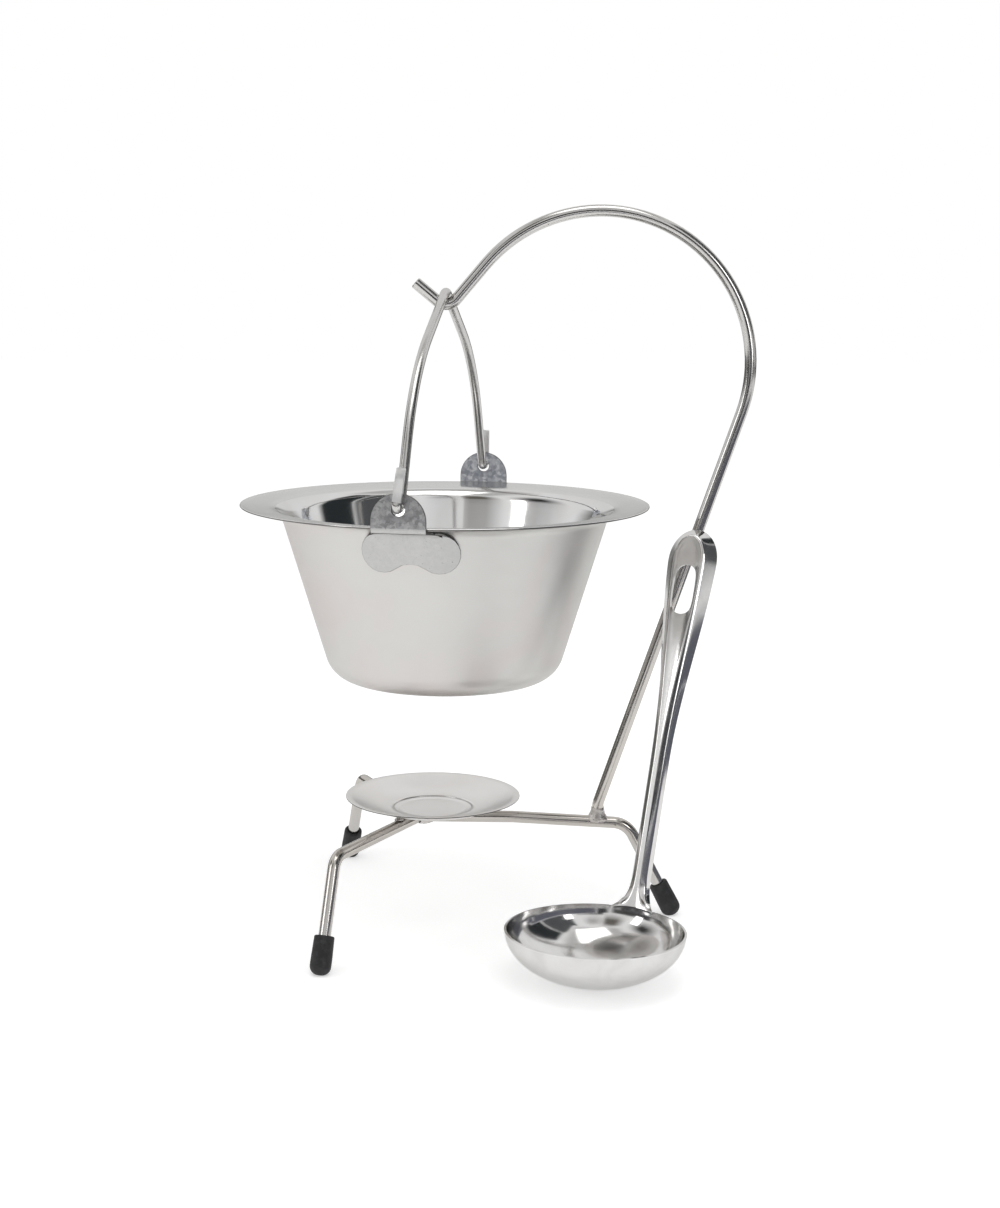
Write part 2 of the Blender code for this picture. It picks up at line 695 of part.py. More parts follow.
def add_ear(name, parent, place, turn):
    """Cut the blank with its hole, score it at each fold line, and fold it."""
    outline, path, lengths = ear_outline()
    curve = bpy.data.curves.new(name, "CURVE")
    curve.dimensions = "2D"
    curve.fill_mode = "BOTH"
    curve.extrude = EAR_SHEET / 2
    hole = EAR_HOLE_DIAMETER / 2
    hole_steps = EAR_HOLE_STEPS
    circle = []
    for count in range(hole_steps):
        angle = 2 * pi * count / hole_steps
        circle.append((hole * cos(angle), EAR_HOLE_DROP + hole * sin(angle)))
    for loop in (outline, circle):
        spline = curve.splines.new("POLY")
        spline.points.add(len(loop) - 1)
        spline.use_cyclic_u = True
        for point, (x, y) in zip(spline.points, loop):
            point.co = (x, y, 0.0, 1.0)
    blank = as_mesh(add_object(name, curve, ZINC_SHEET, parent))
    folded = bmesh.new()
    folded.from_mesh(blank.data)
    cuts = [(Vector((0.0, length, 0.0)), Vector((0.0, 1.0, 0.0))) for length in lengths[1:-1]]
    reach = EAR_LOBE_SPREAD + EAR_LOBE_RADIUS
    count = ceil(reach / EAR_FOLD_STEP)
    for index in range(-count + 1, count):
        cuts.append((Vector((index * reach / count, 0.0, 0.0)), Vector((1.0, 0.0, 0.0))))
    for place_on, normal in cuts:
        below = lengths[1] if normal.x else -1.0
        faces = [face for face in folded.faces if face.calc_center_median().y > below]
        edges = {edge for face in faces for edge in face.edges}
        corners = {vert for face in faces for vert in face.verts}
        bmesh.ops.bisect_plane(
            folded,
            geom=[*corners, *edges, *faces],
            plane_co=place_on,
            plane_no=normal,
            dist=GAP / 100,
        )
    bmesh.ops.triangulate(folded, faces=folded.faces[:])
    for vert in folded.verts:
        vert.co = fold_point(vert.co.x, vert.co.y, vert.co.z, path, lengths)
    bmesh.ops.recalc_face_normals(folded, faces=folded.faces)
    folded.to_mesh(blank.data)
    folded.free()
    blank.matrix_parent_inverse = Matrix.Identity(4)
    blank.location = place
    blank.rotation_euler = (0.0, 0.0, turn)
    return blank


# Bail

def ear_pin_height():
    """Height of the bail's ends above the rim: they bear on the top of the ears' holes."""
    slack = EAR_HOLE_DIAMETER / 2 - BAIL_RADIUS - GAP
    return EAR_TAB_ABOVE_RIM - EAR_HOLE_DROP + slack


def add_bail(parent):
    """The bail's arch peaks at the hook, and its ends pass out through the ears and turn up.

    The front end leans aside a little, towards the arm.
    """
    peak = ROD_RADIUS + GAP + BAIL_RADIUS
    pin = peak - BAIL_HEIGHT
    apex = peak + BAIL_PEAK_RADIUS * (1 / cos(BAIL_ROOF_SLOPE) - 1)
    shoulder = Vector((0.0, BAIL_SHOULDER_REACH, apex - BAIL_SHOULDER_REACH * tan(BAIL_ROOF_SLOPE)))
    ear = POT_RIM_DIAMETER / 2 + EAR_RIM_CLEARANCE + EAR_SHEET / 2
    ankle = ear - BAIL_PIN_STRAIGHT - EAR_SHEET / 2
    toe = ear + BAIL_PIN_STRAIGHT + EAR_SHEET / 2
    leg_slope = atan2(shoulder.z - pin, ankle - BAIL_SHOULDER_REACH)
    turn = BAIL_ANKLE_RADIUS * tan(leg_slope / 2)
    corners = [
        (Vector((0.0, toe + BAIL_TAB_RADIUS, pin + BAIL_TAB_HEIGHT)), 0.0),
        (Vector((0.0, toe + BAIL_TAB_RADIUS, pin)), BAIL_TAB_RADIUS),
        (Vector((0.0, ankle - turn, pin)), BAIL_ANKLE_RADIUS),
        (shoulder, BAIL_SHOULDER_RADIUS),
    ]
    mirror = Vector((1.0, -1.0, 1.0))
    other = [(corner * mirror, radius) for corner, radius in reversed(corners)]
    other[-1][0].x += BAIL_TAB_ASIDE
    path = filleted(corners + [(Vector((0.0, 0.0, apex)), BAIL_PEAK_RADIUS)] + other)
    bail = as_mesh(add_rod("bail", path, BAIL_DIAMETER, ROD_CHAMFER, STAINLESS_ROD, parent))
    tab = toe + BAIL_TAB_RADIUS
    thickness_share = BAIL_TAB_THICKNESS / BAIL_DIAMETER
    width_share = BAIL_TAB_WIDTH / BAIL_DIAMETER
    for vert in bail.data.vertices:
        side = 1 if vert.co.y > 0.0 else -1
        beyond = abs(vert.co.y) > toe
        rise = smooth_step((vert.co.z - pin) / BAIL_TAB_TRANSITION)
        if beyond:
            thickness = 1 + (thickness_share - 1) * rise
            vert.co.y = side * (tab + (abs(vert.co.y) - tab) * thickness)
            vert.co.x *= 1 + (width_share - 1) * rise
    return bail


# Ladle

def bowl_profile():
    """The bowl's inner face from its lowest point to the rim: a quarter of an ellipse.

    The rim is at height 0.
    """
    rim = LADLE_BOWL_DIAMETER / 2 - LADLE_SHEET
    depth = LADLE_BOWL_DEPTH - LADLE_SHEET
    points = []
    for count in range(BOWL_RINGS + 1):
        angle = pi / 2 * count / BOWL_RINGS
        points.append((rim * sin(angle), -depth * cos(angle)))
    return points


def handle_section(along):
    """Half-widths and depths of the handle's columns, from the middle to the free edge."""
    to_top = HANDLE_LENGTH - HANDLE_SWELL_TO_TOP - along
    swell = smooth_step(1 - to_top / HANDLE_SWELL_LENGTH)
    facet = (HANDLE_NECK_FACET + (HANDLE_LEAF_FACET - HANDLE_NECK_FACET) * swell) / 2
    width = (HANDLE_NECK_WIDTH + (HANDLE_LEAF_WIDTH - HANDLE_NECK_WIDTH) * swell) / 2
    dish = HANDLE_LEAF_DISH * swell
    return [
        (facet / 2, dish * 3 / 4),
        (facet, 0.0),
        (facet + HANDLE_EDGE, HANDLE_EDGE_DEPTH),
        (width, HANDLE_DEPTH),
    ], dish


def handle_point(along, across, behind):
    """A point of the handle, from its distance up the handle, its offset and its depth."""
    rim = LADLE_BOWL_DIAMETER / 2 - LADLE_SHEET
    run = Vector((0.0, sin(LADLE_LEAN), cos(LADLE_LEAN)))
    back = Vector((0.0, cos(LADLE_LEAN), -sin(LADLE_LEAN)))
    return Vector((across, rim, 0.0)) + run * along + back * behind


def handle_rows(root):
    """Rows of the handle above the root row, which lies on the bowl's rim."""
    tip_center = HANDLE_LENGTH - HANDLE_TIP
    rows = []
    for count in range(1, HANDLE_FLARE_ROWS + 1):
        share = count / HANDLE_FLARE_ROWS
        along = HANDLE_FLARE * share * share
        settle = 1 - (1 - along / HANDLE_FLARE) ** 3
        section, dish = handle_section(along)
        row = []
        for index, start in enumerate(root):
            column = index - HANDLE_COLUMNS
            half, behind = (0.0, dish) if column == 0 else section[abs(column) - 1]
            across = half if column > 0 else -half
            goal = handle_point(along, across, behind)
            lifted = start + handle_point(along, 0.0, 0.0) - handle_point(0.0, 0.0, 0.0)
            row.append(lifted.lerp(goal, settle))
        rows.append(row)
    for count in range(1, HANDLE_ROWS + 1):
        along = HANDLE_FLARE + (tip_center - HANDLE_FLARE) * count / HANDLE_ROWS
        section, dish = handle_section(along)
        right = [handle_point(along, half, behind) for half, behind in section]
        left = [handle_point(along, -half, behind) for half, behind in reversed(section)]
        rows.append(left + [handle_point(along, 0.0, dish)] + right)
    section, dish = handle_section(tip_center)
    reach = section[-1][0]
    for count in range(1, HANDLE_TIP_ROWS + 1):
        angle = pi / 2 * count / HANDLE_TIP_ROWS
        right = []
        left = []
        for half, behind in section:
            rise = HANDLE_TIP * (half / reach) ** 0.5 * sin(angle)
            right.append(handle_point(tip_center + rise, half * cos(angle), behind))
            left.append(handle_point(tip_center + rise, -half * cos(angle), behind))
        rows.append(left[::-1] + [handle_point(tip_center, 0.0, dish)] + right)
    return rows


def add_ladle(parent):
    """Spin the bowl, draw the handle out of its rim as a loft, and give both their sheet."""
    built = bmesh.new()
    verts = [built.verts.new((0.0, radius, height)) for radius, height in bowl_profile()]
    edges = [built.edges.new(pair) for pair in zip(verts, verts[1:])]
    rim_height = verts[-1].co.z
    bmesh.ops.spin(
        built,
        geom=verts + edges,
        cent=(0.0, 0.0, 0.0),
        axis=(0.0, 0.0, 1.0),
        angle=2 * pi,
        steps=BOWL_STEPS,
        use_merge=True,
    )
    bmesh.ops.remove_doubles(built, verts=built.verts, dist=GAP / 100)
    brim = [vert for vert in built.verts if abs(vert.co.z - rim_height) < GAP / 100]
    brim.sort(key=lambda vert: abs(atan2(vert.co.x, vert.co.y)))
    root = brim[:2 * HANDLE_COLUMNS + 1]
    root.sort(key=lambda vert: vert.co.x)
    lower = root
    for row in handle_rows([vert.co.copy() for vert in root]):
        upper = [built.verts.new(place) for place in row]
        for index in range(len(row) - 1):
            built.faces.new((lower[index], lower[index + 1], upper[index + 1], upper[index]))
        lower = upper
    bmesh.ops.remove_doubles(built, verts=built.verts, dist=GAP / 100)
    bmesh.ops.recalc_face_normals(built, faces=built.faces)
    lowest = min(built.faces, key=lambda face: face.calc_center_median().z)
    if lowest.normal.z > 0.0:
        bmesh.ops.reverse_faces(built, faces=built.faces)
    mesh = bpy.data.meshes.new("ladle")
    built.to_mesh(mesh)
    built.free()
    mesh.shade_smooth()
    ladle = add_object("ladle", mesh, STAINLESS_LADLE, parent)
    shell = ladle.modifiers.new("sheet", "SOLIDIFY")
    shell.thickness = LADLE_SHEET
    shell.offset = 1.0
    shell.use_even_offset = True
    cut(ladle, add_slot_cutter(parent))
    return ladle


def add_slot_cutter(parent):
    """A round-ended bar through the leaf of the handle."""
    straight = SLOT_LENGTH - SLOT_WIDTH
    radius = SLOT_WIDTH / 2
    middle = HANDLE_LENGTH - SLOT_TO_TOP - SLOT_LENGTH / 2
    curve = bpy.data.curves.new("slot_bar", "CURVE")
    curve.dimensions = "2D"
    curve.fill_mode = "BOTH"
    curve.extrude = HANDLE_DEPTH + OVERRUN
    steps = ceil(pi / (2 * ARC_STEP))
    points = []
    for end in (1, -1):
        for count in range(steps + 1):
            angle = pi * count / steps
            points.append((end * radius * cos(angle), end * (straight / 2 + radius * sin(angle))))
    spline = curve.splines.new("POLY")
    spline.points.add(len(points) - 1)
    spline.use_cyclic_u = True
    for point, (x, y) in zip(spline.points, points):
        point.co = (x, y, 0.0, 1.0)
    bar = as_mesh(add_object("slot_bar", curve, None))
    PARTS.objects.unlink(bar)
    CUTTERS.objects.link(bar)
    bar.parent = parent
    place = handle_point(middle, 0.0, 0.0)
    bar.matrix_parent_inverse = Matrix.Identity(4)
    bar.location = place
    bar.rotation_euler = (pi / 2 - LADLE_LEAN, 0.0, 0.0)
    return as_cutter(bar)


def ladle_place():
    """Where the bowl's rim centre goes so that it stands and its tip rests on the arm.

    The bowl tilts back on its round bottom, and the ladle slides back until the first point
    of its tip's edge meets the arm.
    """
    turn = Matrix.Rotation(-LADLE_AZIMUTH, 3, "Z") @ Matrix.Rotation(-LADLE_TILT, 3, "X")
    bottom = min((turn @ Vector((0.0, radius, height))).z for radius, height in bowl_profile())
    rim_z = FLOOR_Z + LADLE_SHEET - bottom
    rows = handle_rows([Vector((0.0, 0.0, 0.0))] * (2 * HANDLE_COLUMNS + 1))[-HANDLE_TIP_ROWS:]
    section = handle_section(HANDLE_LENGTH)[0]
    spread = section[-1][0] - section[-2][0]
    sheet = LADLE_SHEET * spread / hypot(spread, section[-1][1] - section[-2][1])
    back = handle_point(0.0, 0.0, sheet) - handle_point(0.0, 0.0, 0.0)
    edge = [turn @ (row[side] + back) for row in rows for side in (0, -1)]
    knee = arm_foot() + UP * ARM_STUB
    top = max(edge, key=lambda point: point.z)
    rod_x = knee.x + (rim_z + top.z - knee.z) * tan(ARM_LEAN)
    x = rod_x - LADLE_REST_OFFSET - top.x
    clear = ROD_RADIUS + GAP
    shifts = []
    for point in edge:
        aside = (x + point.x - knee.x - (rim_z + point.z - knee.z) * tan(ARM_LEAN)) * cos(ARM_LEAN)
        if abs(aside) < clear:
            shifts.append(-((clear * clear - aside * aside) ** 0.5) - point.y)
    return Vector((x, min(shifts), rim_z))


# Put the pieces together

FLOOR_CUTTER = add_floor_cutter()

left_path = left_legs_path()
spine_path = spine_leg_path()
add_rod("arm", filleted(arm_corners()[0]), ROD_DIAMETER, ROD_CHAMFER, STAINLESS_ROD)
add_rod("spine_leg", spine_path, ROD_DIAMETER, ROD_CHAMFER, STAINLESS_ROD)
add_rod("left_legs", left_path, ROD_DIAMETER, ROD_CHAMFER, STAINLESS_ROD)
LEFT_SPACE = add_rod_space("left_legs_space", left_path)
SPINE_SPACE = add_rod_space("spine_leg_space", spine_path)

add_foot_cap("back_foot_cap", *left_leg_corners(1))
add_foot_cap("front_foot_cap", *left_leg_corners(-1))
add_foot_cap("right_foot_cap", *right_leg_corners())

add_arm_weld()
add_hub_weld()
add_burner_dish()
DISH_SPACE = add_dish_cutter()
add_dish_weld("spine_dish_weld", 0.0, SPINE_SPACE)
add_dish_weld("back_dish_weld", LEFT_LEG_ANGLE, LEFT_SPACE)
add_dish_weld("front_dish_weld", -LEFT_LEG_ANGLE, LEFT_SPACE)

hook = arm_corners()[1]
bail_pivot = add_pivot("bail_pivot", hook, None, -BAIL_TURN)
pin_drop = BAIL_HEIGHT - (ROD_RADIUS + GAP + BAIL_RADIUS)
cauldron_pivot = add_pivot("cauldron_pivot", (0.0, 0.0, -pin_drop), bail_pivot)
ladle_stand = add_pivot("ladle_stand", ladle_place(), None, -LADLE_AZIMUTH, -LADLE_TILT)
bpy.context.view_layer.update()

add_bail(bail_pivot)
rim_place = (0.0, 0.0, -ear_pin_height())
add_cauldron(cauldron_pivot, rim_place)
add_ear("back_ear", cauldron_pivot, rim_place, 0.0)
add_ear("front_ear", cauldron_pivot, rim_place, pi)
add_ladle(ladle_stand)
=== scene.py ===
# %% [markdown]
# # Mini cauldron on a bent-rod stand
# The object is polished and satin stainless steel: a drawn pot that hangs by a wire bail from
# the hook of a stand bent from round rod, and a ladle pressed from sheet. Metal like this shows
# its room more than its own colour, so the surfaces have to be round and even, and the room
# needs pale and dark areas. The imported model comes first, as a frame that nothing moves.

from math import atan2, ceil, cos, hypot, pi, radians, sin, tan

import bmesh
import bpy
from bmesh.types import BMEdge, BMFace, BMVert
from mathutils import Matrix, Vector


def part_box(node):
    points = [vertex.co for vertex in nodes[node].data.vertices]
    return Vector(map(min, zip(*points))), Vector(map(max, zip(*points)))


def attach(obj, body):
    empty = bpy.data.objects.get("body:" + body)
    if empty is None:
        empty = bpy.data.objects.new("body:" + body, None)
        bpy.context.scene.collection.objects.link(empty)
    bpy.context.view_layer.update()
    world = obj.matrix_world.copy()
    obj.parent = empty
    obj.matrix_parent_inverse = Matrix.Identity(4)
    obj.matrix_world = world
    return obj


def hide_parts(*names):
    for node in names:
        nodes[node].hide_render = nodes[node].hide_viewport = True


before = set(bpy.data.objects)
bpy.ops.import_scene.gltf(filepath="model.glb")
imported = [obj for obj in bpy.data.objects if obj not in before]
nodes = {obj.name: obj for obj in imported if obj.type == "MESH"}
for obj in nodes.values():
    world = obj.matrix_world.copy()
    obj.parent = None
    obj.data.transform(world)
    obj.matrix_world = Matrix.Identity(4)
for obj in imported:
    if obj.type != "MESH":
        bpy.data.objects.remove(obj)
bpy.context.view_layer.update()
MM = 0.001
UP = Vector((0.0, 0.0, 1.0))
print("CAD nodes:", len(nodes))

# %% [markdown]
# ## Camera
# A product photograph is taken from a little above the object with a long lens. The camera
# stands where the photograph's feet, rim and hook line up with the model's, about a metre away.

# %% Camera
CAMERA_PLACE = Vector((0.0478, -0.9779, 0.2735))
CAMERA_AZIMUTH = radians(0.824)
CAMERA_ELEVATION = radians(9.677)
CAMERA_ROLL = radians(0.47)
CAMERA_LENS = 58.45

lens = bpy.data.cameras.new("camera")
lens.lens = CAMERA_LENS
camera = bpy.data.objects.new("camera", lens)
turn = Matrix.Rotation(CAMERA_AZIMUTH, 4, "Z")
nod = Matrix.Rotation(pi / 2 - CAMERA_ELEVATION, 4, "X")
roll = Matrix.Rotation(CAMERA_ROLL, 4, "Z")
camera.matrix_world = Matrix.Translation(CAMERA_PLACE) @ turn @ nod @ roll
bpy.context.scene.collection.objects.link(camera)
bpy.context.scene.camera = camera
bpy.context.scene.view_settings.view_transform = "Standard"
print("camera distance:", round(CAMERA_PLACE.length, 3), "m")

# %% [markdown]
# ## Shader expressions
# A node tree reads more easily as arithmetic. `Wire` wraps one output socket, so that Python's
# operators add Math nodes, with a value on either side. `Shader` owns a material, and its
# `node` method adds any other node from its type, its settings and the values or wires of its
# sockets. Steel, zinc and weld metal differ in three sockets only, so one method finishes a
# surface as bare metal. Steel stays gray where the eye grazes it, so its tint there is gray.

# %% Helpers for shaders
class Wire:
    """One output socket, on which Python arithmetic adds Math nodes."""

    def __init__(self, tree, socket):
        self.tree = tree
        self.socket = socket

    def math(self, operation, *values):
        """A Math node on wires and values, in the order of its sockets."""
        node = self.tree.nodes.new("ShaderNodeMath")
        node.operation = operation
        for socket, value in zip(node.inputs, values):
            plug(self.tree, socket, value)
        return Wire(self.tree, node.outputs[0])

    def __add__(self, other):
        return self.math("ADD", self, other)

    def __sub__(self, other):
        return self.math("SUBTRACT", self, other)

    def __rsub__(self, other):
        return self.math("SUBTRACT", other, self)

    def __mul__(self, other):
        return self.math("MULTIPLY", self, other)

    def __pow__(self, other):
        return self.math("POWER", self, other)

    def __rpow__(self, other):
        return self.math("POWER", other, self)

    def __gt__(self, other):
        return self.math("GREATER_THAN", self, other)

    def __lt__(self, other):
        return self.math("LESS_THAN", self, other)

    def __abs__(self):
        return self.math("ABSOLUTE", self)

    __radd__ = __add__
    __rmul__ = __mul__


def plug(tree, socket, value):
    """Link a wire to a socket, or set the socket's value."""
    if isinstance(value, Wire):
        tree.links.new(value.socket, socket)
    else:
        socket.default_value = value


GRAZE = (0.78, 0.78, 0.77, 1.0)


class Shader:
    """A material with a Principled surface."""

    def __init__(self, name):
        self.material = bpy.data.materials.new(name)
        self.material.use_nodes = True
        self.tree = self.material.node_tree
        self.surface = self.tree.nodes["Principled BSDF"]

    def node(self, kind, settings=None, inputs=None, output=0):
        """Any node, as the wire from one of its outputs."""
        made = self.tree.nodes.new("ShaderNode" + kind)
        for key, value in (settings or {}).items():
            setattr(made, key, value)
        for key, value in (inputs or {}).items():
            plug(self.tree, made.inputs[key], value)
        return Wire(self.tree, made.outputs[output])

    def axes(self, vector):
        """The X, Y and Z of a vector, each as a wire."""
        made = self.node("SeparateXYZ", {}, {"Vector": vector})
        return [Wire(self.tree, socket) for socket in made.socket.node.outputs]

    def set(self, sockets):
        """Give the Principled surface its values and wires by the names of its sockets."""
        for key, value in sockets.items():
            plug(self.tree, self.surface.inputs[key], value)

    def place(self, scale=(1.0, 1.0, 1.0), shift=(0.0, 0.0, 0.0), uv=False):
        """Object coordinates, or the piece's own UV map, moved and scaled."""
        source = self.node("TexCoord", output=2 if uv else 3)
        return self.node("Mapping", {}, {"Vector": source, "Location": shift, "Scale": scale})

    def noise(self, vector, scale, detail=3.0, rough=0.55, warp=0.0):
        """Gray clouds: scale makes them finer, detail adds smaller ones, warp bends them."""
        return self.node("TexNoise", {}, {
            "Vector": vector,
            "Scale": scale,
            "Detail": detail,
            "Roughness": rough,
            "Distortion": warp,
        })

    def ramp(self, factor, *stops):
        """A colour ramp from (position, colour) stops."""
        made = self.tree.nodes.new("ShaderNodeValToRGB")
        points = made.color_ramp.elements
        while len(points) < len(stops):
            points.new(0.5)
        for point, (position, color) in zip(points, stops):
            point.position = position
            point.color = (*color, 1.0)
        plug(self.tree, made.inputs[0], factor)
        return Wire(self.tree, made.outputs[0])

    def span(self, value, low, high, start=0.0, end=1.0):
        """Stretch a value's range, held at its ends."""
        return self.node("MapRange", {"clamp": True}, {
            "Value": value,
            "From Min": low,
            "From Max": high,
            "To Min": start,
            "To Max": end,
        })

    def mix(self, factor, first, second):
        """Blend two colours or colour wires."""
        made = self.tree.nodes.new("ShaderNodeMix")
        made.data_type = "RGBA"
        sockets = [socket for socket in made.inputs if socket.type == "RGBA"]
        plug(self.tree, made.inputs[0], factor)
        for socket, value in zip(sockets, (first, second)):
            plug(self.tree, socket, value if isinstance(value, Wire) else (*value, 1.0))
        return Wire(self.tree, [out for out in made.outputs if out.type == "RGBA"][0])

    def bump(self, height, depth, below=None):
        """Relief of a depth in metres, over another bump's normal where one is given."""
        sockets = {"Height": height, "Distance": depth, "Strength": 1.0}
        if below is not None:
            sockets["Normal"] = below
        return self.node("Bump", {}, sockets)

    def metal(self, color, roughness, normal):
        """Finish the surface as bare metal."""
        self.set({
            "Base Color": color,
            "Metallic": 1.0,
            "Roughness": roughness,
            "Specular Tint": GRAZE,
            "Normal": normal,
        })
        return self.material


# %% [markdown]
# ## Satin and polished steel
# Drawn sheet keeps a faint satin grain that runs round the pot, because it is polished while it
# spins. The grain is a noise on the distance from the axis and the height alone, so that it
# runs round. Hands leave wide, soft smudges that change the roughness a little and warm the
# colour. The edges of sheet that look down or sideways get a painted shade: a rough, near-black
# finish that draws a thin dark outline.

# %% Sheet steel
POT_LOW, POT_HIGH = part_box("cauldron")
POT_AXIS = (POT_LOW + POT_HIGH) / 2
LINES_PER_METER = 2600.0
MICRON = 0.001 * MM


def sheet_steel(name, rough, colors, grain, axis=(0.0, 0.0)):
    """Turned or pressed stainless sheet, with round polishing lines about an upright axis.

    rough is the range of its roughness, colors are its clean and its smudged colour, and grain
    is the depth of its lines.
    """
    made = Shader(name)
    here = made.place(shift=(-axis[0], -axis[1], 0.0))
    x, y, z = made.axes(here)
    reach = (x * x + y * y) ** 0.5
    lines = {"X": reach * LINES_PER_METER, "Y": z * LINES_PER_METER, "Z": 0.0}
    fine = made.noise(made.node("CombineXYZ", {}, lines), 1.0, 2.0)
    cloud = made.noise(here, 24.0, 3.0, warp=0.6)
    wipe = made.noise(made.place(scale=(1.0, 1.0, 2.2)), 60.0, 4.0)
    color = made.mix(made.span(cloud, 0.40, 0.62), *colors)
    roughness = made.span(wipe * 0.5 + cloud * 0.5, 0.35, 0.65, *rough)
    return made.metal(color, roughness, made.bump(fine, grain))


POT_CENTER = (POT_AXIS.x, POT_AXIS.y)
SATIN = ((0.585, 0.580, 0.563), (0.596, 0.562, 0.546))
BRIGHT = ((0.66, 0.66, 0.66), (0.63, 0.62, 0.61))
RIM = ((0.60, 0.60, 0.597), (0.63, 0.627, 0.62))
DISH_TONE = ((0.73, 0.722, 0.71), (0.72, 0.70, 0.685))
# Near-black, a painted shade for the edges of sheet.
EDGE_SHADE = ((0.10, 0.098, 0.095), (0.15, 0.145, 0.14))
satin_sheet = sheet_steel("satin_sheet", (0.36, 0.42), SATIN, 4 * MICRON, POT_CENTER)
bright_sheet = sheet_steel("bright_sheet", (0.07, 0.11), BRIGHT, 3 * MICRON, POT_CENTER)
rim_sheet = sheet_steel("rim_sheet", (0.22, 0.28), RIM, 5 * MICRON, POT_CENTER)
dish_sheet = sheet_steel("dish_sheet", (0.30, 0.36), DISH_TONE, 6 * MICRON)
painted_edge_shade = sheet_steel("painted_edge_shade", (0.40, 0.50), EDGE_SHADE, 4 * MICRON)
print("sheet finishes:", len(bpy.data.materials))

# %% [markdown]
# ## Drawn rod
# Rod that has been pulled through a die has lines along its length, and where it was bent it is
# rubbed a little duller. The lines follow the bends, so they are laid out on a UV map that is
# made with each rod: round the rod in one direction and along it in the other, in metres. A
# few dark pits are scattered on it, and the welder's heat has browned the hub and the lower
# arm, but not the legs. The bail's ends are pressed, so they look like sheet, and their very
# light tone is a painted reflection of the white floor.

# %% Rod steel
LENGTHWISE = (LINES_PER_METER, 30.0, 1.0)
RUBBED = (260.0, 60.0, 1.0)
DULL_SHARE = 0.92
HEAT_BROWN = (0.90, 0.865, 0.825)
BROWN_HEIGHTS = (0.0, 0.16)
LEG_HEIGHTS = (-0.035, -0.008)
PIT_LEVEL = 0.79
PIT_COLOR = (0.10, 0.095, 0.09)
NICK_SHARE = 0.3


def rod_steel(name, color, rough, depth):
    """Drawn rod, from its colour, the range of its roughness and the depth of its lines."""
    made = Shader(name)
    here = made.place()
    lines = made.noise(made.place(scale=LENGTHWISE, uv=True), 1.0, 3.0)
    dull = made.noise(made.place(scale=RUBBED, uv=True), 1.0, 4.0)
    nicks = made.noise(here, 900.0, 2.0)
    pits = made.noise(here, 560.0, 1.0) > PIT_LEVEL
    cloud = made.noise(here, 40.0, 3.0)
    dark = tuple(value * DULL_SHARE for value in color)
    worn = made.mix(made.span(dull * 0.5 + cloud * 0.5, 0.42, 0.62), color, dark)
    height = made.axes(here)[2]
    below_arm = made.span(height, *BROWN_HEIGHTS, 0.9, 0.0)
    above_legs = made.span(height, *LEG_HEIGHTS, 0.2, 1.0)
    brown = tuple(value * part for value, part in zip(color, HEAT_BROWN))
    worn = made.mix(below_arm * above_legs, worn, brown)
    roughness = made.span(dull, 0.35, 0.68, *rough)
    relief = made.bump(nicks, depth * NICK_SHARE, below=made.bump(lines, depth))
    return made.metal(made.mix(pits, worn, PIT_COLOR), roughness, relief)


# A very light finish for the pressed toes: a painted reflection of the white floor.
TOE_PAINTED_SHEEN = ((0.86, 0.86, 0.85), (0.78, 0.775, 0.77))
toe_painted_sheen = sheet_steel("toe_painted_sheen", (0.30, 0.36), TOE_PAINTED_SHEEN, 8 * MICRON)
stand_rod = rod_steel("stand_rod", (0.56, 0.548, 0.534), (0.13, 0.19), 6 * MICRON)
bail_rod = rod_steel("bail_rod", (0.58, 0.57, 0.558), (0.18, 0.26), 6 * MICRON)
print("rod finishes:", stand_rod.name, bail_rod.name, toe_painted_sheen.name)

# %% [markdown]
# ## Ladle, zinc, welds and rubber
# The ladle is mirror-polished, with hair scratches that only show in its dark reflections. The
# ears are zinc-plated sheet: the plating freezes in flat gray crystals, made by the cells of a
# Voronoi texture, each with its own gray, under a finer mottling. Their tabs, above the pot's
# rim, are more mottled than the plates on its wall, and their grays are painted light: the front
# tab has a painted shade, darker than its plate, and the back tab a painted bluish reflection,
# much lighter. Weld metal is scaly and browned by its heat, and the rubber caps are matte and
# dusty.

# %% The other finishes
def ladle_steel():
    made = Shader("ladle_steel")
    scratch = made.noise(made.place(scale=(1.0, 1.0, 0.06)), 2400.0, 2.0)
    smear = made.noise(made.place(), 70.0, 4.0, warp=0.8)
    clean, dull = (0.66, 0.655, 0.65), (0.61, 0.60, 0.592)
    color = made.mix(made.span(smear, 0.4, 0.65), clean, dull)
    return made.metal(color, made.span(smear, 0.3, 0.7, 0.08, 0.16), made.bump(scratch, 3 * MICRON))


STOPS = (0.0, 0.5, 1.0)
PLATE_GRAYS = ((0.44, 0.438, 0.432), (0.485, 0.483, 0.477), (0.53, 0.528, 0.522))
# Painted light on the tabs: a painted shade on the front tab, a painted bluish reflection on the
# back one.
FRONT_TAB_PAINTED_SHADE = ((0.20, 0.20, 0.205), (0.31, 0.31, 0.315), (0.42, 0.42, 0.42))
BACK_TAB_PAINTED_SHEEN = ((0.34, 0.36, 0.41), (0.56, 0.58, 0.63), (0.86, 0.87, 0.90))
SPECK_LEVEL = 0.72
SPECK_COLOR = (0.16, 0.16, 0.165)
CRYSTAL_BEND = (1.4 * MM, 1.4 * MM, 1.4 * MM)


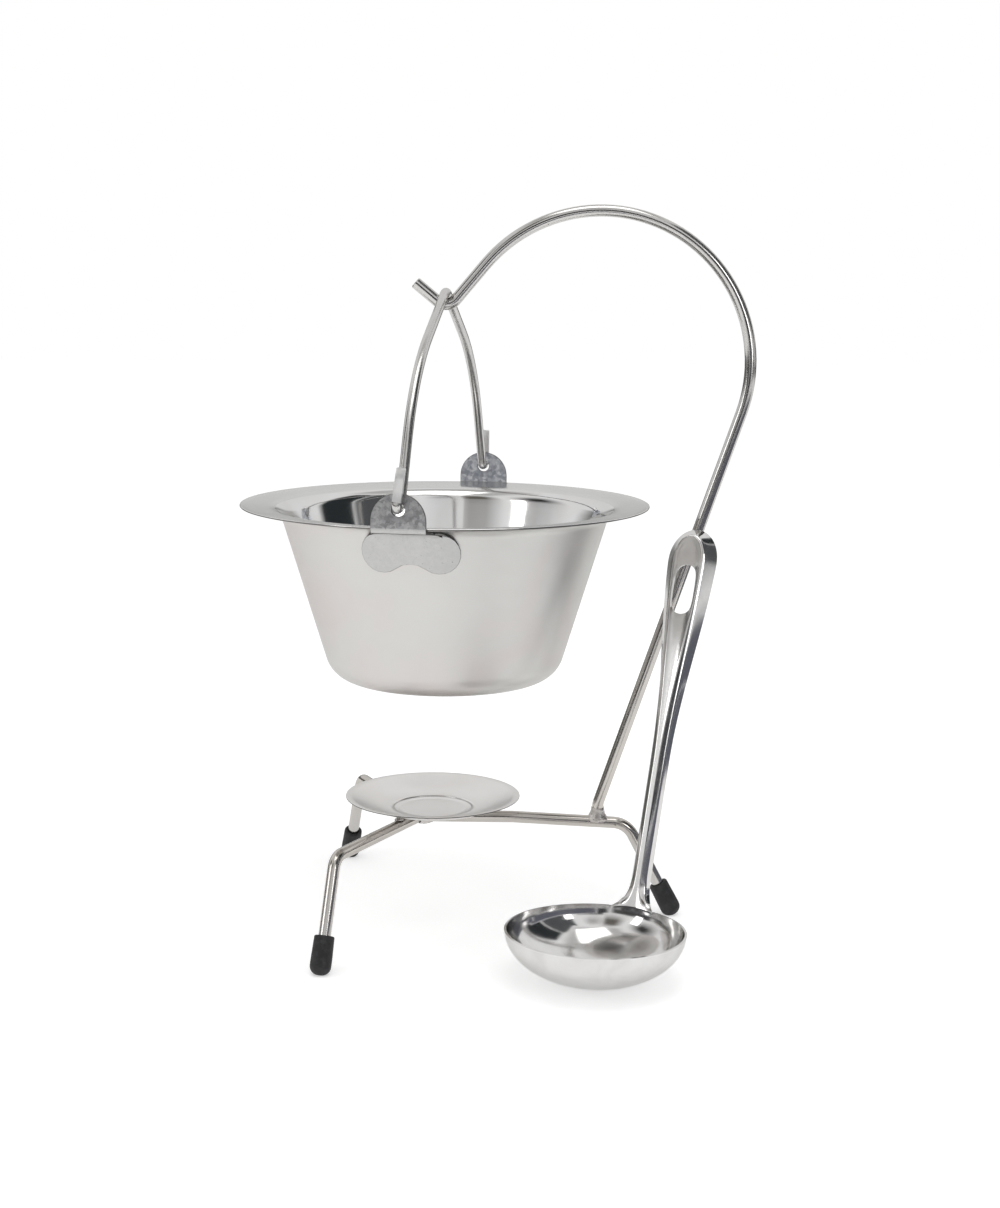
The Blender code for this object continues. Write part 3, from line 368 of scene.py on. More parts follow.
def zinc_plate(name, tab_painted_light):
    """Zinc plate whose tab, above the pot's rim, has its own three grays, painted light and shade.
    """
    made = Shader(name)
    here = made.place()
    bent = made.node("VectorMath", {"operation": "MULTIPLY_ADD"}, {
        0: made.node("TexNoise", {}, {"Vector": here, "Scale": 500.0}, output=1),
        1: CRYSTAL_BEND,
        2: here,
    })
    crystal = made.node("TexVoronoi", {}, {"Vector": bent, "Scale": 620.0}, output=1)
    gray = made.node("SeparateColor", {}, {"Color": crystal})
    cloud = made.noise(here, 240.0, 5.0, 0.7)
    grain = made.noise(here, 1700.0, 3.0, 0.7)
    speck = made.noise(here, 1300.0, 2.0) > SPECK_LEVEL
    tone = made.span(gray * 0.12 + cloud * 0.38 + grain * 0.50, 0.30, 0.70)
    plate = made.ramp(tone, *zip(STOPS, PLATE_GRAYS))
    mottled = made.span(gray * 0.25 + cloud * 0.50 + grain * 0.25, 0.34, 0.66)
    tab = made.ramp(mottled, *zip(STOPS, tab_painted_light))
    # Above the rim the tab's painted grays take over from the plate's.
    zinc = made.mix(made.axes(here)[2] > POT_HIGH.z, plate, tab)
    roughness = made.span(cloud * 0.5 + grain * 0.5, 0.3, 0.7, 0.34, 0.46)
    return made.metal(made.mix(speck, zinc, SPECK_COLOR), roughness, made.bump(grain, 20 * MICRON))


WELD_BROWNS = ((0.40, 0.37, 0.345), (0.52, 0.495, 0.47), (0.60, 0.58, 0.565))


def weld_bead():
    made = Shader("weld_bead")
    here = made.place()
    scale = made.noise(here, 900.0, 4.0, 0.6)
    heat = made.span(made.noise(here, 300.0, 3.0), 0.32, 0.68)
    roughness = made.span(scale, 0.3, 0.7, 0.22, 0.42)
    return made.metal(made.ramp(heat, *zip(STOPS, WELD_BROWNS)), roughness,
                      made.bump(scale, 0.12 * MM))


def cap_rubber():
    made = Shader("cap_rubber")
    here = made.place()
    grit = made.noise(here, 2600.0, 3.0, 0.7)
    dust = made.noise(here, 240.0, 5.0, 0.7)
    clean, dusty = (0.010, 0.010, 0.011), (0.042, 0.041, 0.043)
    made.set({
        "Base Color": made.mix(made.span(dust, 0.46, 0.78), clean, dusty),
        "Roughness": made.span(dust, 0.3, 0.7, 0.48, 0.72),
        "Specular IOR Level": 0.35,
        "Normal": made.bump(grit, 0.06 * MM),
    })
    return made.material


ladle_finish = ladle_steel()
front_zinc_tab_shade = zinc_plate("front_zinc_tab_shade", FRONT_TAB_PAINTED_SHADE)
back_zinc_tab_sheen = zinc_plate("back_zinc_tab_sheen", BACK_TAB_PAINTED_SHEEN)
weld_finish = weld_bead()
rubber_finish = cap_rubber()
print("finishes:", len(bpy.data.materials))

# %% [markdown]
# ## Paths and sweeps
# A bent rod is straight runs joined by arcs of one radius. `rounded` turns corner points into
# such a path, and `swept` carries a circle along it: each extrusion of the ring's edges is moved
# to the next point and turned with the path, so the tube never twists. Long straight runs are
# cut into steps, so that the smooth shading stays even on them. The UV map is laid out on the
# way, band by band.

# %% Helpers for bent rod
ARC_STEP = radians(3.0)


def rounded(corners, step=ARC_STEP):
    """Points along straight runs, with an arc of each corner's own radius."""
    path = []
    for index, (corner, radius) in enumerate(corners):
        if radius == 0.0 or index in (0, len(corners) - 1):
            path.append(corner.copy())
            continue
        before = (corners[index - 1][0] - corner).normalized()
        after = (corners[index + 1][0] - corner).normalized()
        half = before.angle(after) / 2
        center = corner + (before + after).normalized() * (radius / sin(half))
        start = corner + before * (radius / tan(half)) - center
        end = corner + after * (radius / tan(half)) - center
        sweep = pi - 2 * half
        steps = max(3, ceil(sweep / step))
        for count in range(steps + 1):
            share = count / steps
            arc = start * sin((1 - share) * sweep) + end * sin(share * sweep)
            path.append(center + arc / sin(sweep))
    return path


def ring_places(path):
    """A matrix for the ring at each point, turned with the path and never about it."""
    places = []
    turn = UP.rotation_difference((path[1] - path[0]).normalized()).to_matrix()
    heading = (path[1] - path[0]).normalized()
    for index, point in enumerate(path):
        before = path[max(index - 1, 0)]
        after = path[min(index + 1, len(path) - 1)]
        tangent = (after - before).normalized()
        turn = heading.rotation_difference(tangent).to_matrix() @ turn
        heading = tangent
        places.append(Matrix.Translation(point) @ turn.to_4x4())
    return places


def stepped(path, step):
    """The path with its long straight runs cut into steps."""
    points = [path[0]]
    for before, after in zip(path, path[1:]):
        count = max(1, ceil((after - before).length / step))
        points += [before.lerp(after, share / count) for share in range(1, count + 1)]
    return points


# %% Helpers for meshes
def only(kind, made):
    """The vertices, edges or faces among what an operator made."""
    return [item for item in made if isinstance(item, kind)]


def extruded(built, edges):
    """Extrude a row of edges, and return its new vertices, new row of edges and faces."""
    made = bmesh.ops.extrude_edge_only(built, edges=edges)["geom"]
    fresh = only(BMVert, made)
    row = [edge for edge in only(BMEdge, made) if all(vert in fresh for vert in edge.verts)]
    return fresh, row, only(BMFace, made)


def smooth_mesh(name, built):
    """A mesh with smooth shading from a bmesh, which is freed."""
    mesh = bpy.data.meshes.new(name)
    built.to_mesh(mesh)
    built.free()
    mesh.shade_smooth()
    return mesh


def finished(name, mesh, body, slot, stands_for, *materials):
    """Put a piece on its body, with its finish, in place of its CAD node."""
    piece = bpy.data.objects.new(name, mesh)
    bpy.context.scene.collection.objects.link(piece)
    for material in materials:
        mesh.materials.append(material)
    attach(piece, body)
    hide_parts(stands_for)
    print(name, len(mesh.polygons), "faces")
    return piece


def modify(piece, name, kind, **settings):
    """Add a modifier to a piece."""
    modifier = piece.modifiers.new(name, kind)
    for key, value in settings.items():
        setattr(modifier, key, value)


# %% Sweep
ROD_SIDES = 40
RUN_STEP = 6 * MM
ROD_SHARP = radians(38.0)
SEAM = 0.1


def lay_out(uv, faces, fresh, radius, places, reaches):
    """Give a band of faces its UV map: the angle times the radius, and the way along.

    fresh holds the vertices of the newer ring, places are the matrices of the older and the
    newer ring, and reaches are their distances from the rod's start.
    """
    older, newer = (place.inverted() for place in places)
    for face in faces:
        sides = [atan2(*(newer @ vert.co).yx) for vert in face.verts if vert in fresh]
        low = min(sides) if max(sides) - min(sides) < pi else max(sides)
        for loop in face.loops:
            on_newer = loop.vert in fresh
            spot = (newer if on_newer else older) @ loop.vert.co
            angle = atan2(spot.y, spot.x)
            angle += 2 * pi if angle < low - SEAM else 0.0
            loop[uv].uv = (angle * radius, reaches[1] if on_newer else reaches[0])


def swept(name, path, radius, chamfer, shape=None):
    """A round rod along a path with chamfered ends, and its UV map in metres.

    shape, where it is given, is a function that moves each vertex in the end.
    """
    first = path[0] + (path[1] - path[0]).normalized() * chamfer
    last = path[-1] + (path[-2] - path[-1]).normalized() * chamfer
    points = [path[0], *stepped([first, *path[1:-1], last], RUN_STEP), path[-1]]
    places = ring_places(points)
    built = bmesh.new()
    uv = built.loops.layers.uv.new("along")
    end = radius - chamfer
    bmesh.ops.create_circle(built, segments=ROD_SIDES, radius=end, cap_ends=True)
    bmesh.ops.transform(built, matrix=places[0], verts=built.verts)
    sizes = {1: radius / end, len(points) - 1: 1 / (radius / end)}
    edges = built.edges[:]
    travelled = 0.0
    for index in range(1, len(points)):
        ring, edges, faces = extruded(built, edges)
        size = Matrix.Scale(sizes.get(index, 1.0), 4)
        move = places[index] @ size @ places[index - 1].inverted()
        bmesh.ops.transform(built, matrix=move, verts=ring)
        reached = travelled + (points[index] - points[index - 1]).length
        lay_out(uv, faces, set(ring), radius, places[index - 1:index + 1], (travelled, reached))
        travelled = reached
    bmesh.ops.contextual_create(built, geom=edges)
    if shape is not None:
        for vert in built.verts:
            shape(vert)
    bmesh.ops.recalc_face_normals(built, faces=built.faces)
    mesh = smooth_mesh(name, built)
    mesh.set_sharp_from_angle(angle=ROD_SHARP)
    return mesh


# %% [markdown]
# ## The stand's rods
# The stand is three bent rods. A V makes both left legs, a spine runs to the right and bends
# down into the third leg, and a tall arm rises from the spine, bows over and ends in a V hook.
# The corners are those of the frame, with a finer step in the arcs.

# %% Sizes of the stand
ROD = 3.0 * MM
ROD_CHAMFER = 0.45 * MM
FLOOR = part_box("front_foot_cap")[0].z
HUB_HEIGHT = 51.2 * MM
HUB = Vector((-6.5 * MM, 0.0, FLOOR + HUB_HEIGHT))
GAP = 0.3 * MM
LEG_BEND = 9.0 * MM
LEFT_KNEE = 82.7 * MM
LEFT_KNEE_TURN = radians(116.3)
LEFT_FOOT = 106.3 * MM
LEFT_FOOT_TURN = radians(114.4)
LEFT_FOOT_SKEW = 1.7 * MM
SPINE_LEVEL = 48.0 * MM
SPINE_SAG = radians(2.7)
SPINE_SAG_BEND = 90.0 * MM
SPINE_END = 106.4 * MM
SPINE_BEND = 12.0 * MM
RIGHT_FOOT = 131.8 * MM
CAP_LENGTH = 18.6 * MM
CAP_TOP = 4.85 * MM
CAP_BELLY = 5.15 * MM
CAP_BELLY_HEIGHT = 7.5 * MM
CAP_ROUNDING = 4.4 * MM
CAP_FLOOR = 4.2 * MM
CAP_FLAT = 0.6 * MM
print("floor at", round(FLOOR / MM, 1), "mm")


def level(angle):
    """A level direction from its angle with +X."""
    return Vector((cos(angle), sin(angle), 0.0))


def spine_at(reach):
    """A point of the spine's axis, level at first and then sagging."""
    return HUB + Vector((reach, 0.0, -max(reach - SPINE_LEVEL, 0.0) * tan(SPINE_SAG)))


def cap_end(foot, knee):
    """The lowest end of a cap on the line of its leg, sunk a little so that it stands flat."""
    along = (knee - foot).normalized()
    tilt = along.angle(UP)
    toe = CAP_ROUNDING + (CAP_BELLY - CAP_ROUNDING) * sin(tilt)
    return foot + along * ((toe - CAP_FLAT) / cos(tilt) - CAP_ROUNDING)


def rod_end(foot, knee):
    """Where a leg's rod ends inside its cap."""
    return cap_end(foot, knee) + (knee - foot).normalized() * (CAP_FLOOR + GAP)


# %% Left legs and spine
def left_leg(side):
    """Knee and foot of the back leg for a side of 1, or of the front leg for -1."""
    knee = HUB + level(side * LEFT_KNEE_TURN) * LEFT_KNEE
    foot = HUB + level(side * LEFT_FOOT_TURN) * LEFT_FOOT - UP * HUB_HEIGHT
    return knee, foot - Vector((side * LEFT_FOOT_SKEW, 0.0, 0.0))


back_knee, back_foot = left_leg(1)
front_knee, front_foot = left_leg(-1)
left_path = rounded([
    (rod_end(back_foot, back_knee), 0.0),
    (back_knee, LEG_BEND),
    (HUB, LEG_BEND),
    (front_knee, LEG_BEND),
    (rod_end(front_foot, front_knee), 0.0),
])
left_mesh = swept("left_legs_rod", left_path, ROD, ROD_CHAMFER)
finished("left_legs_rod", left_mesh, "stand", "rod", "left_legs", stand_rod)

hub_front = ROD - LEG_BEND * (1 / sin(pi - LEFT_KNEE_TURN) - 1)
spine_knee = spine_at(SPINE_END)
right_foot = HUB + Vector((RIGHT_FOOT, 0.0, -HUB_HEIGHT))
spine_path = rounded([
    (HUB + Vector((hub_front + GAP, 0.0, 0.0)), 0.0),
    (spine_at(SPINE_LEVEL), SPINE_SAG_BEND),
    (spine_knee, SPINE_BEND),
    (rod_end(right_foot, spine_knee), 0.0),
])
spine_mesh = swept("spine_rod", spine_path, ROD, ROD_CHAMFER)
finished("spine_rod", spine_mesh, "stand", "rod", "spine_leg", stand_rod)

# %% Arm, bow and hook
ARM_REACH = 91.3 * MM
ARM_STUB = 6.1 * MM
ARM_BEND = 9.0 * MM
ARM_LEAN = radians(18.7)
ARM_POST = 212.0 * MM
BOW = 74.5 * MM
BOW_END = radians(49.9)
HOOK_RUN = 28.8 * MM
HOOK_BEND = 6.5 * MM
TIP_RISE = radians(39.5)
TIP_RUN = 20.6 * MM
FLAT_LOSS = 0.1 * MM

arm_foot = spine_at(ARM_REACH) + UP * (ROD + GAP + ROD * tan(SPINE_SAG))
arm_knee = arm_foot + UP * ARM_STUB
lean = Vector((sin(ARM_LEAN), 0.0, cos(ARM_LEAN)))
bow_center = arm_knee + lean * ARM_POST - Vector((cos(ARM_LEAN), 0.0, -sin(ARM_LEAN))) * BOW
bow_sweep = pi / 2 + BOW_END + ARM_LEAN
bow_steps = ceil(bow_sweep / ARC_STEP)
bow = []
for count in range(bow_steps + 1):
    angle = bow_sweep * count / bow_steps - ARM_LEAN
    bow.append((bow_center + Vector((cos(angle), 0.0, sin(angle))) * BOW, 0.0))
hook_down = Vector((-cos(BOW_END), 0.0, -sin(BOW_END)))
hook_rise = Vector((-cos(TIP_RISE), 0.0, sin(TIP_RISE)))
hook_corner = bow[-1][0] + hook_down * HOOK_RUN
tip = hook_corner + hook_rise * TIP_RUN
arm_path = rounded([
    (arm_foot, 0.0),
    (arm_knee, ARM_BEND),
    *bow,
    (hook_corner, HOOK_BEND),
    (tip, 0.0),
])
arm_mesh = swept("arm_rod", arm_path, ROD - FLAT_LOSS, ROD_CHAMFER)
finished("arm_rod", arm_mesh, "stand", "rod", "arm", stand_rod)

hook_half = hook_rise.angle(-hook_down) / 2
hook_center = hook_corner + (hook_rise - hook_down).normalized() * (HOOK_BEND / sin(hook_half))
hook = hook_center - UP * HOOK_BEND
print("hook at", [round(value / MM, 1) for value in hook])

# %% [markdown]
# ## Turned shapes
# Pot, dish and foot caps are turned about an axis. The outline of the section is drawn once and
# spun all the way round. For sheet, the outline runs out along the lower face, round the lip
# and back along the upper face.

# %% Helpers for turned shapes
PROFILE_STEP = 3.0 * MM
PROFILE_ARC = radians(4.0)
SPIN_MERGE = 0.002 * MM
LIP_STEPS = 6
MIDDLE_POINT = (0.0, 0.0, 0.0)
UPRIGHT = (0.0, 0.0, 1.0)


def spun(name, profile, steps, place):
    """A closed shape from an outline in the XZ plane that starts and ends on the Z axis."""
    built = bmesh.new()
    verts = [built.verts.new(point) for point in profile]
    edges = [built.edges.new(pair) for pair in zip(verts, verts[1:])]
    bmesh.ops.spin(built, geom=verts + edges, cent=MIDDLE_POINT, axis=UPRIGHT,
                   angle=2 * pi, steps=steps, use_merge=True)
    bmesh.ops.remove_doubles(built, verts=built.verts, dist=SPIN_MERGE)
    bmesh.ops.recalc_face_normals(built, faces=built.faces)
    bmesh.ops.transform(built, matrix=place, verts=built.verts)
    return smooth_mesh(name, built)


def turned(name, corners, center, steps, sheet, lip, thinning):
    """A turned sheet from the (radius, height, bend radius) corners of its lower face.

    The sheet thins to lip over the last stretch, thinning wide, and its upper face stays.
    """
    bends = [(Vector((reach, 0.0, height)), bend) for reach, height, bend in corners]
    lower = stepped(rounded(bends, PROFILE_ARC), PROFILE_STEP)
    upper = []
    under = []
    for index, point in enumerate(lower):
        before = lower[max(index - 1, 0)]
        after = lower[min(index + 1, len(lower) - 1)]
        run = (after - before).normalized()
        normal = Vector((run.z, 0.0, -run.x))
        share = min((lower[0].x - point.x) / thinning, 1.0)
        upper.append(point + normal * sheet)
        under.append(point + normal * (sheet - lip) * (1 - share))
    upper[-1].x = 0.0
    edge = (under[0] + upper[0]) / 2
    across = (under[0] - upper[0]) / 2
    out = Vector((-across.z, 0.0, across.x))
    out = out if out.x > 0.0 else -out
    angles = [radians(180 * count / LIP_STEPS) for count in range(1, LIP_STEPS)]
    bend = [edge + across * cos(angle) + out * sin(angle) for angle in angles]
    return spun(name, under[::-1] + bend + upper, steps, Matrix.Translation(center))


# %% [markdown]
# ## Pot
# The pot is one deep-drawn sheet: a wide flat rim with a curled edge, a tight neck, a tapered
# wall and a round-cornered base. Its outside is satin, its inside is bright and its rim lies
# between them. The faces get these finishes by where they lie and which way they look. The
# lower half of the curled edge gets a painted shade, a thin dark line under its bright top.

# %% Pot
POT_SHEET = 0.9 * MM
POT_RIM = (POT_HIGH.y - POT_LOW.y) / 2
POT_MOUTH = 82.1 * MM
POT_NECK = 8.0 * MM
POT_DEPTH = POT_HIGH.z - POT_LOW.z
POT_BASE = 56.5 * MM
POT_CORNER = 16.0 * MM
RIM_DIP = 1.6 * MM
RIM_CURL = 0.5 * MM
RIM_CURL_WIDTH = 2.5 * MM
RIM_CURL_BEND = 6.0 * MM
RIM_START = POT_MOUTH + POT_NECK / 3
LIP_TURN = 0.45
POT_STEPS = 180
POT_CENTER_TOP = Vector((hook.x, hook.y, POT_HIGH.z))
POT_FINISHES = (satin_sheet, bright_sheet, rim_sheet, painted_edge_shade)
OUTSIDE, INSIDE, ON_RIM, LIP_SHADE = range(4)

pot_mesh = turned("pot", [
    (POT_RIM - POT_SHEET / 2, -POT_SHEET, 0.0),
    (POT_RIM - RIM_CURL_WIDTH, -POT_SHEET - RIM_CURL, RIM_CURL_BEND),
    (POT_MOUTH + POT_SHEET, -POT_SHEET - RIM_DIP, POT_NECK),
    (POT_BASE, -POT_DEPTH, POT_CORNER),
    (0.0, -POT_DEPTH, 0.0),
], POT_CENTER_TOP, POT_STEPS, POT_SHEET, POT_SHEET, POT_RIM)
finished("pot", pot_mesh, "cauldron", "sheet", "cauldron", *POT_FINISHES)
for face in pot_mesh.polygons:
    spot = face.center - POT_CENTER_TOP
    reach = (spot.x * spot.x + spot.y * spot.y) ** 0.5
    inward = face.normal.z > 0.0 or face.normal.xy.dot(spot.xy) < 0.0
    # The lip's upper half is bright, and its lower half gets the painted shade.
    if reach > POT_RIM - POT_SHEET / 2:
        face.material_index = INSIDE if face.normal.z > LIP_TURN else LIP_SHADE
    elif inward:
        face.material_index = ON_RIM if reach > RIM_START else INSIDE
    else:
        face.material_index = OUTSIDE

# %% [markdown]
# ## Dish
# The burner dish is a shallow pressed plate whose lip thins to its edge. Its middle is sunk by
# a step, a flat seat that keeps a tea light from sliding.

# %% Dish
DISH = (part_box("burner_dish")[1].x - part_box("burner_dish")[0].x) / 2
DISH_HEIGHT = 7.2 * MM
DISH_SHEET = 1.0 * MM
DISH_LIP = 0.6 * MM
DISH_THINNING = 12.0 * MM
DISH_STEPS = 140
BRIM_WIDTH = 3.0 * MM
BRIM_DROP = 0.25 * MM
BRIM_BEND = 3.0 * MM
DISH_FLOOR = 26.0 * MM
DISH_BEND = 33.0 * MM
SEAT = 18.5 * MM
SEAT_STEP = 0.9 * MM
STEP_OUT = 2.4 * MM
STEP_IN = 1.4 * MM
STEP_OUT_BEND = 5.0 * MM
STEP_IN_BEND = 4.0 * MM

dish_mesh = turned("dish", [
    (DISH - DISH_LIP / 2, DISH_HEIGHT - DISH_SHEET, 0.0),
    (DISH - BRIM_WIDTH, DISH_HEIGHT - DISH_SHEET - BRIM_DROP, BRIM_BEND),
    (DISH_FLOOR, SEAT_STEP - DISH_SHEET, DISH_BEND),
    (SEAT + STEP_OUT, SEAT_STEP - DISH_SHEET, STEP_OUT_BEND),
    (SEAT - STEP_IN, -DISH_SHEET, STEP_IN_BEND),
    (0.0, -DISH_SHEET, 0.0),
], Vector(MIDDLE_POINT), DISH_STEPS, DISH_SHEET, DISH_LIP, DISH_THINNING)
finished("dish", dish_mesh, "stand", "sheet", "burner_dish", dish_sheet, painted_edge_shade)
# The lip's lower faces get the painted shade, a thin dark line along the dish's edge.
for face in dish_mesh.polygons:
    if face.center.xy.length > DISH - DISH_LIP / 2 and face.normal.z < LIP_TURN:
        face.material_index = 1

# %% [markdown]
# ## Foot caps
# Each cap is a soft rubber cup pushed over the end of a leg. It is turned about the leg's own
# line and then cut off flat at the floor, where the weight has pressed it.

# %% Foot caps
CAP_LIP = 0.8 * MM
CAP_STEPS = 48
CAP_ARC = radians(9.0)
CAP_SHARP = radians(35.0)

cap_outline = stepped(rounded([
    (Vector((0.0, 0.0, 0.0)), 0.0),
    (Vector((CAP_BELLY, 0.0, 0.0)), CAP_ROUNDING),
    (Vector((CAP_BELLY, 0.0, CAP_BELLY_HEIGHT)), 0.0),
    (Vector((CAP_TOP, 0.0, CAP_LENGTH)), CAP_LIP),
    (Vector((ROD, 0.0, CAP_LENGTH)), CAP_LIP),
    (Vector((ROD, 0.0, CAP_LENGTH - 2.0 * CAP_LIP)), 0.0),
    (Vector((0.0, 0.0, CAP_LENGTH - 2.0 * CAP_LIP)), 0.0),
], CAP_ARC), PROFILE_STEP)
legs = {
    "back": (back_foot, back_knee),
    "front": (front_foot, front_knee),
    "right": (right_foot, spine_knee),
}
for side, (foot, knee) in legs.items():
    stance = (knee - foot).to_track_quat("Z", "Y").to_matrix().to_4x4()
    place = Matrix.Translation(cap_end(foot, knee)) @ stance
    cap_mesh = spun(side + "_cap", cap_outline, CAP_STEPS, place)
    built = bmesh.new()
    built.from_mesh(cap_mesh)
    flat = bmesh.ops.bisect_plane(built, geom=[*built.verts, *built.edges, *built.faces],
                                  plane_co=UP * FLOOR, plane_no=-UP, clear_outer=True)
    bmesh.ops.contextual_create(built, geom=only(BMEdge, flat["geom_cut"]))
    built.to_mesh(cap_mesh)
    built.free()
    cap_mesh.set_sharp_from_angle(angle=CAP_SHARP)
    finished(side + "_cap", cap_mesh, "stand", "rubber", side + "_foot_cap", rubber_finish)

# %% [markdown]
# ## Bail
# The bail is a thinner rod. It peaks in a tight bend that saddles the hook, falls in two long
# shoulders, passes out through the ears' holes and turns up again. The upturned ends are
# pressed flat, so that they can't slip back through the holes.

# %% Bail
BAIL = 2.35 * MM
BAIL_TURN = radians(9.3)
BAIL_HEIGHT = 94.9 * MM
PEAK_BEND = 8.0 * MM
ROOF_SLOPE = radians(27.5)
SHOULDER = 71.5 * MM
SHOULDER_BEND = 100.0 * MM
ANKLE_BEND = 4.6 * MM
TOE_BEND = 3.4 * MM
TOE_HEIGHT = 18.8 * MM
TOE_ASIDE = 2.4 * MM
PIN_STRAIGHT = 0.6 * MM
TOE_THICKNESS = 2.7 * MM
TOE_WIDTH = 4.4 * MM
TOE_SQUARE = 0.75
TOE_CORE = BAIL / 9
PRESS_RUN = 4.0 * MM
EAR_SHEET = 1.2 * MM
EAR_PLAY = 0.5 * MM
EAR_REACH = POT_RIM + EAR_PLAY + EAR_SHEET / 2

peak = ROD + GAP + BAIL
pin = peak - BAIL_HEIGHT
apex = peak + PEAK_BEND * (1 / cos(ROOF_SLOPE) - 1)
shoulder = Vector((0.0, SHOULDER, apex - SHOULDER * tan(ROOF_SLOPE)))
ankle = EAR_REACH - PIN_STRAIGHT - EAR_SHEET / 2
toe = EAR_REACH + PIN_STRAIGHT + EAR_SHEET / 2
ankle_shift = ANKLE_BEND * tan(atan2(shoulder.z - pin, ankle - SHOULDER) / 2)
back_corners = [
    (Vector((0.0, toe + TOE_BEND, pin + TOE_HEIGHT)), 0.0),
    (Vector((0.0, toe + TOE_BEND, pin)), TOE_BEND),
    (Vector((0.0, ankle - ankle_shift, pin)), ANKLE_BEND),
    (shoulder, SHOULDER_BEND),
]
flip = Vector((1.0, -1.0, 1.0))
front_corners = [(corner * flip, bend) for corner, bend in reversed(back_corners)]
front_corners[-1][0].x += TOE_ASIDE
bail_path = rounded(back_corners + [(Vector((0.0, 0.0, apex)), PEAK_BEND)] + front_corners)


def smooth_step(value):
    """Ease a value between 0 and 1, and hold it there."""
    value = min(max(value, 0.0), 1.0)
    return value * value * (3 - 2 * value)


def pressed(offset, square, width, rise):
    """An offset from the toe's axis, moved out to square sides and scaled to its new width."""
    squared = offset * min(square, BAIL / max(abs(offset), TOE_CORE))
    return squared * (1 + (width / (2 * BAIL) - 1) * rise)


def press_toe(vert):
    """Press the upturned ends flat, more and more above the bend, with square sides."""
    side = 1 if vert.co.y > 0.0 else -1
    if abs(vert.co.y) > toe:
        height = vert.co.z - pin
        rise = smooth_step(height / PRESS_RUN)
        lean = TOE_ASIDE * height / TOE_HEIGHT if side < 0 else 0.0
        across = vert.co.x - lean
        deep = abs(vert.co.y) - toe - TOE_BEND
        size = hypot(across, deep) or BAIL
        square = 1 + (size / max(abs(across), abs(deep), BAIL / 2) - 1) * TOE_SQUARE * rise
        vert.co.x = lean + pressed(across, square, TOE_WIDTH, rise)
        vert.co.y = side * (toe + TOE_BEND + pressed(deep, square, TOE_THICKNESS, rise))


bail_mesh = swept("bail_rod", bail_path, BAIL, ROD_CHAMFER, press_toe)
bail_mesh.transform(Matrix.Translation(hook) @ Matrix.Rotation(-BAIL_TURN, 4, "Z"))
finished("bail_rod", bail_mesh, "bail", "rod", "bail", bail_rod, toe_painted_sheen)
# The pressed toes get the painted reflection.
for face in bail_mesh.polygons:
    spot = Matrix.Rotation(BAIL_TURN, 4, "Z") @ (face.center - hook)
    if abs(spot.y) > toe and spot.z > pin + PRESS_RUN:
        face.material_index = 1

# %% [markdown]
# ## Ears
# These CAD solids already have the right form, so each is copied, its loose triangles are
# merged, and its edges are softened a little, as sheet is when it is punched and tumbled. The
# softened edges and the cut sides of the sheet, which look neither away from the pot nor up,
# get a painted shade: a near-black finish that draws the thin dark outline round each plate.

# %% Ears
CAD_MERGE = 0.004 * MM
CAD_FLAT = radians(1.0)
CAD_SHARP = radians(32.0)
EAR_EDGE = 0.2 * MM
CUT_FACING = 0.6
LEVEL_FACING = 0.9


def copied(name, node, body, slot, *materials):
    """A merged copy of a CAD node with smooth shading."""
    mesh = nodes[node].data.copy()
    mesh.materials.clear()
    built = bmesh.new()
    built.from_mesh(mesh)
    bmesh.ops.remove_doubles(built, verts=built.verts, dist=CAD_MERGE)
    bmesh.ops.dissolve_limit(built, angle_limit=CAD_FLAT, verts=built.verts, edges=built.edges)
    built.to_mesh(mesh)
    built.free()
    mesh.shade_smooth()
    mesh.set_sharp_from_angle(angle=CAD_SHARP)
    return finished(name, mesh, body, slot, node, *materials)


for side, plated in (("front", front_zinc_tab_shade), ("back", back_zinc_tab_sheen)):
    ear = copied(side + "_ear_plate", side + "_ear", "cauldron", "zinc", plated, painted_edge_shade)
    # The cut sides get the painted shade, and the bevel gives it to the softened edges too.
    for face in ear.data.polygons:
        outward = (face.center - POT_AXIS).xy.normalized()
        upright = abs(face.normal.z) < LEVEL_FACING
        cut = upright and abs(face.normal.xy.dot(outward)) < CUT_FACING
        face.material_index = 1 if cut else 0
    modify(ear, "edge", "BEVEL", width=EAR_EDGE, segments=2, material=1, use_clamp_overlap=False,
           limit_method="ANGLE", angle_limit=CAD_SHARP, harden_normals=True)

# %% [markdown]
# ## Weld beads
# A bead freezes from a puddle of metal, so it has no edges, and it wets the rods on both sides.
# The CAD bead is remeshed to a fine even skin, shrunk a little, made lumpy by a cloud texture
# and smoothed, as surface tension does.

# %% Weld beads
BEAD_GRID = 0.25 * MM
LUMP_SCALE = 1.6 * MM
HUB_BEAD = (-0.2 * MM, 0.4 * MM)
DISH_BEAD = (-0.5 * MM, 0.2 * MM)
BEADS = {
    "hub_weld": HUB_BEAD,
    "spine_dish_weld": DISH_BEAD,
    "back_dish_weld": DISH_BEAD,
    "front_dish_weld": DISH_BEAD,
}
lumps = bpy.data.textures.new("weld_lumps", "CLOUDS")
lumps.noise_scale = LUMP_SCALE
for node, (growth, lump) in BEADS.items():
    bead = copied(node + "_bead", node, "stand", "weld", weld_finish)
    modify(bead, "skin", "REMESH", mode="VOXEL", voxel_size=BEAD_GRID, use_smooth_shade=True)
    modify(bead, "swell", "DISPLACE", strength=growth, mid_level=0.0)
    modify(bead, "puddle", "DISPLACE", texture=lumps, strength=lump)
    modify(bead, "melt", "SMOOTH", factor=0.5, iterations=4)

# %% [markdown]
# ## Fillet at the arm's foot
# The arm stands on the spine, and the weld runs round its foot and flares out on the rod below.
# A flared outline is spun about the arm, and the ring is narrowed towards the spine, because
# that is no wider than a rod.

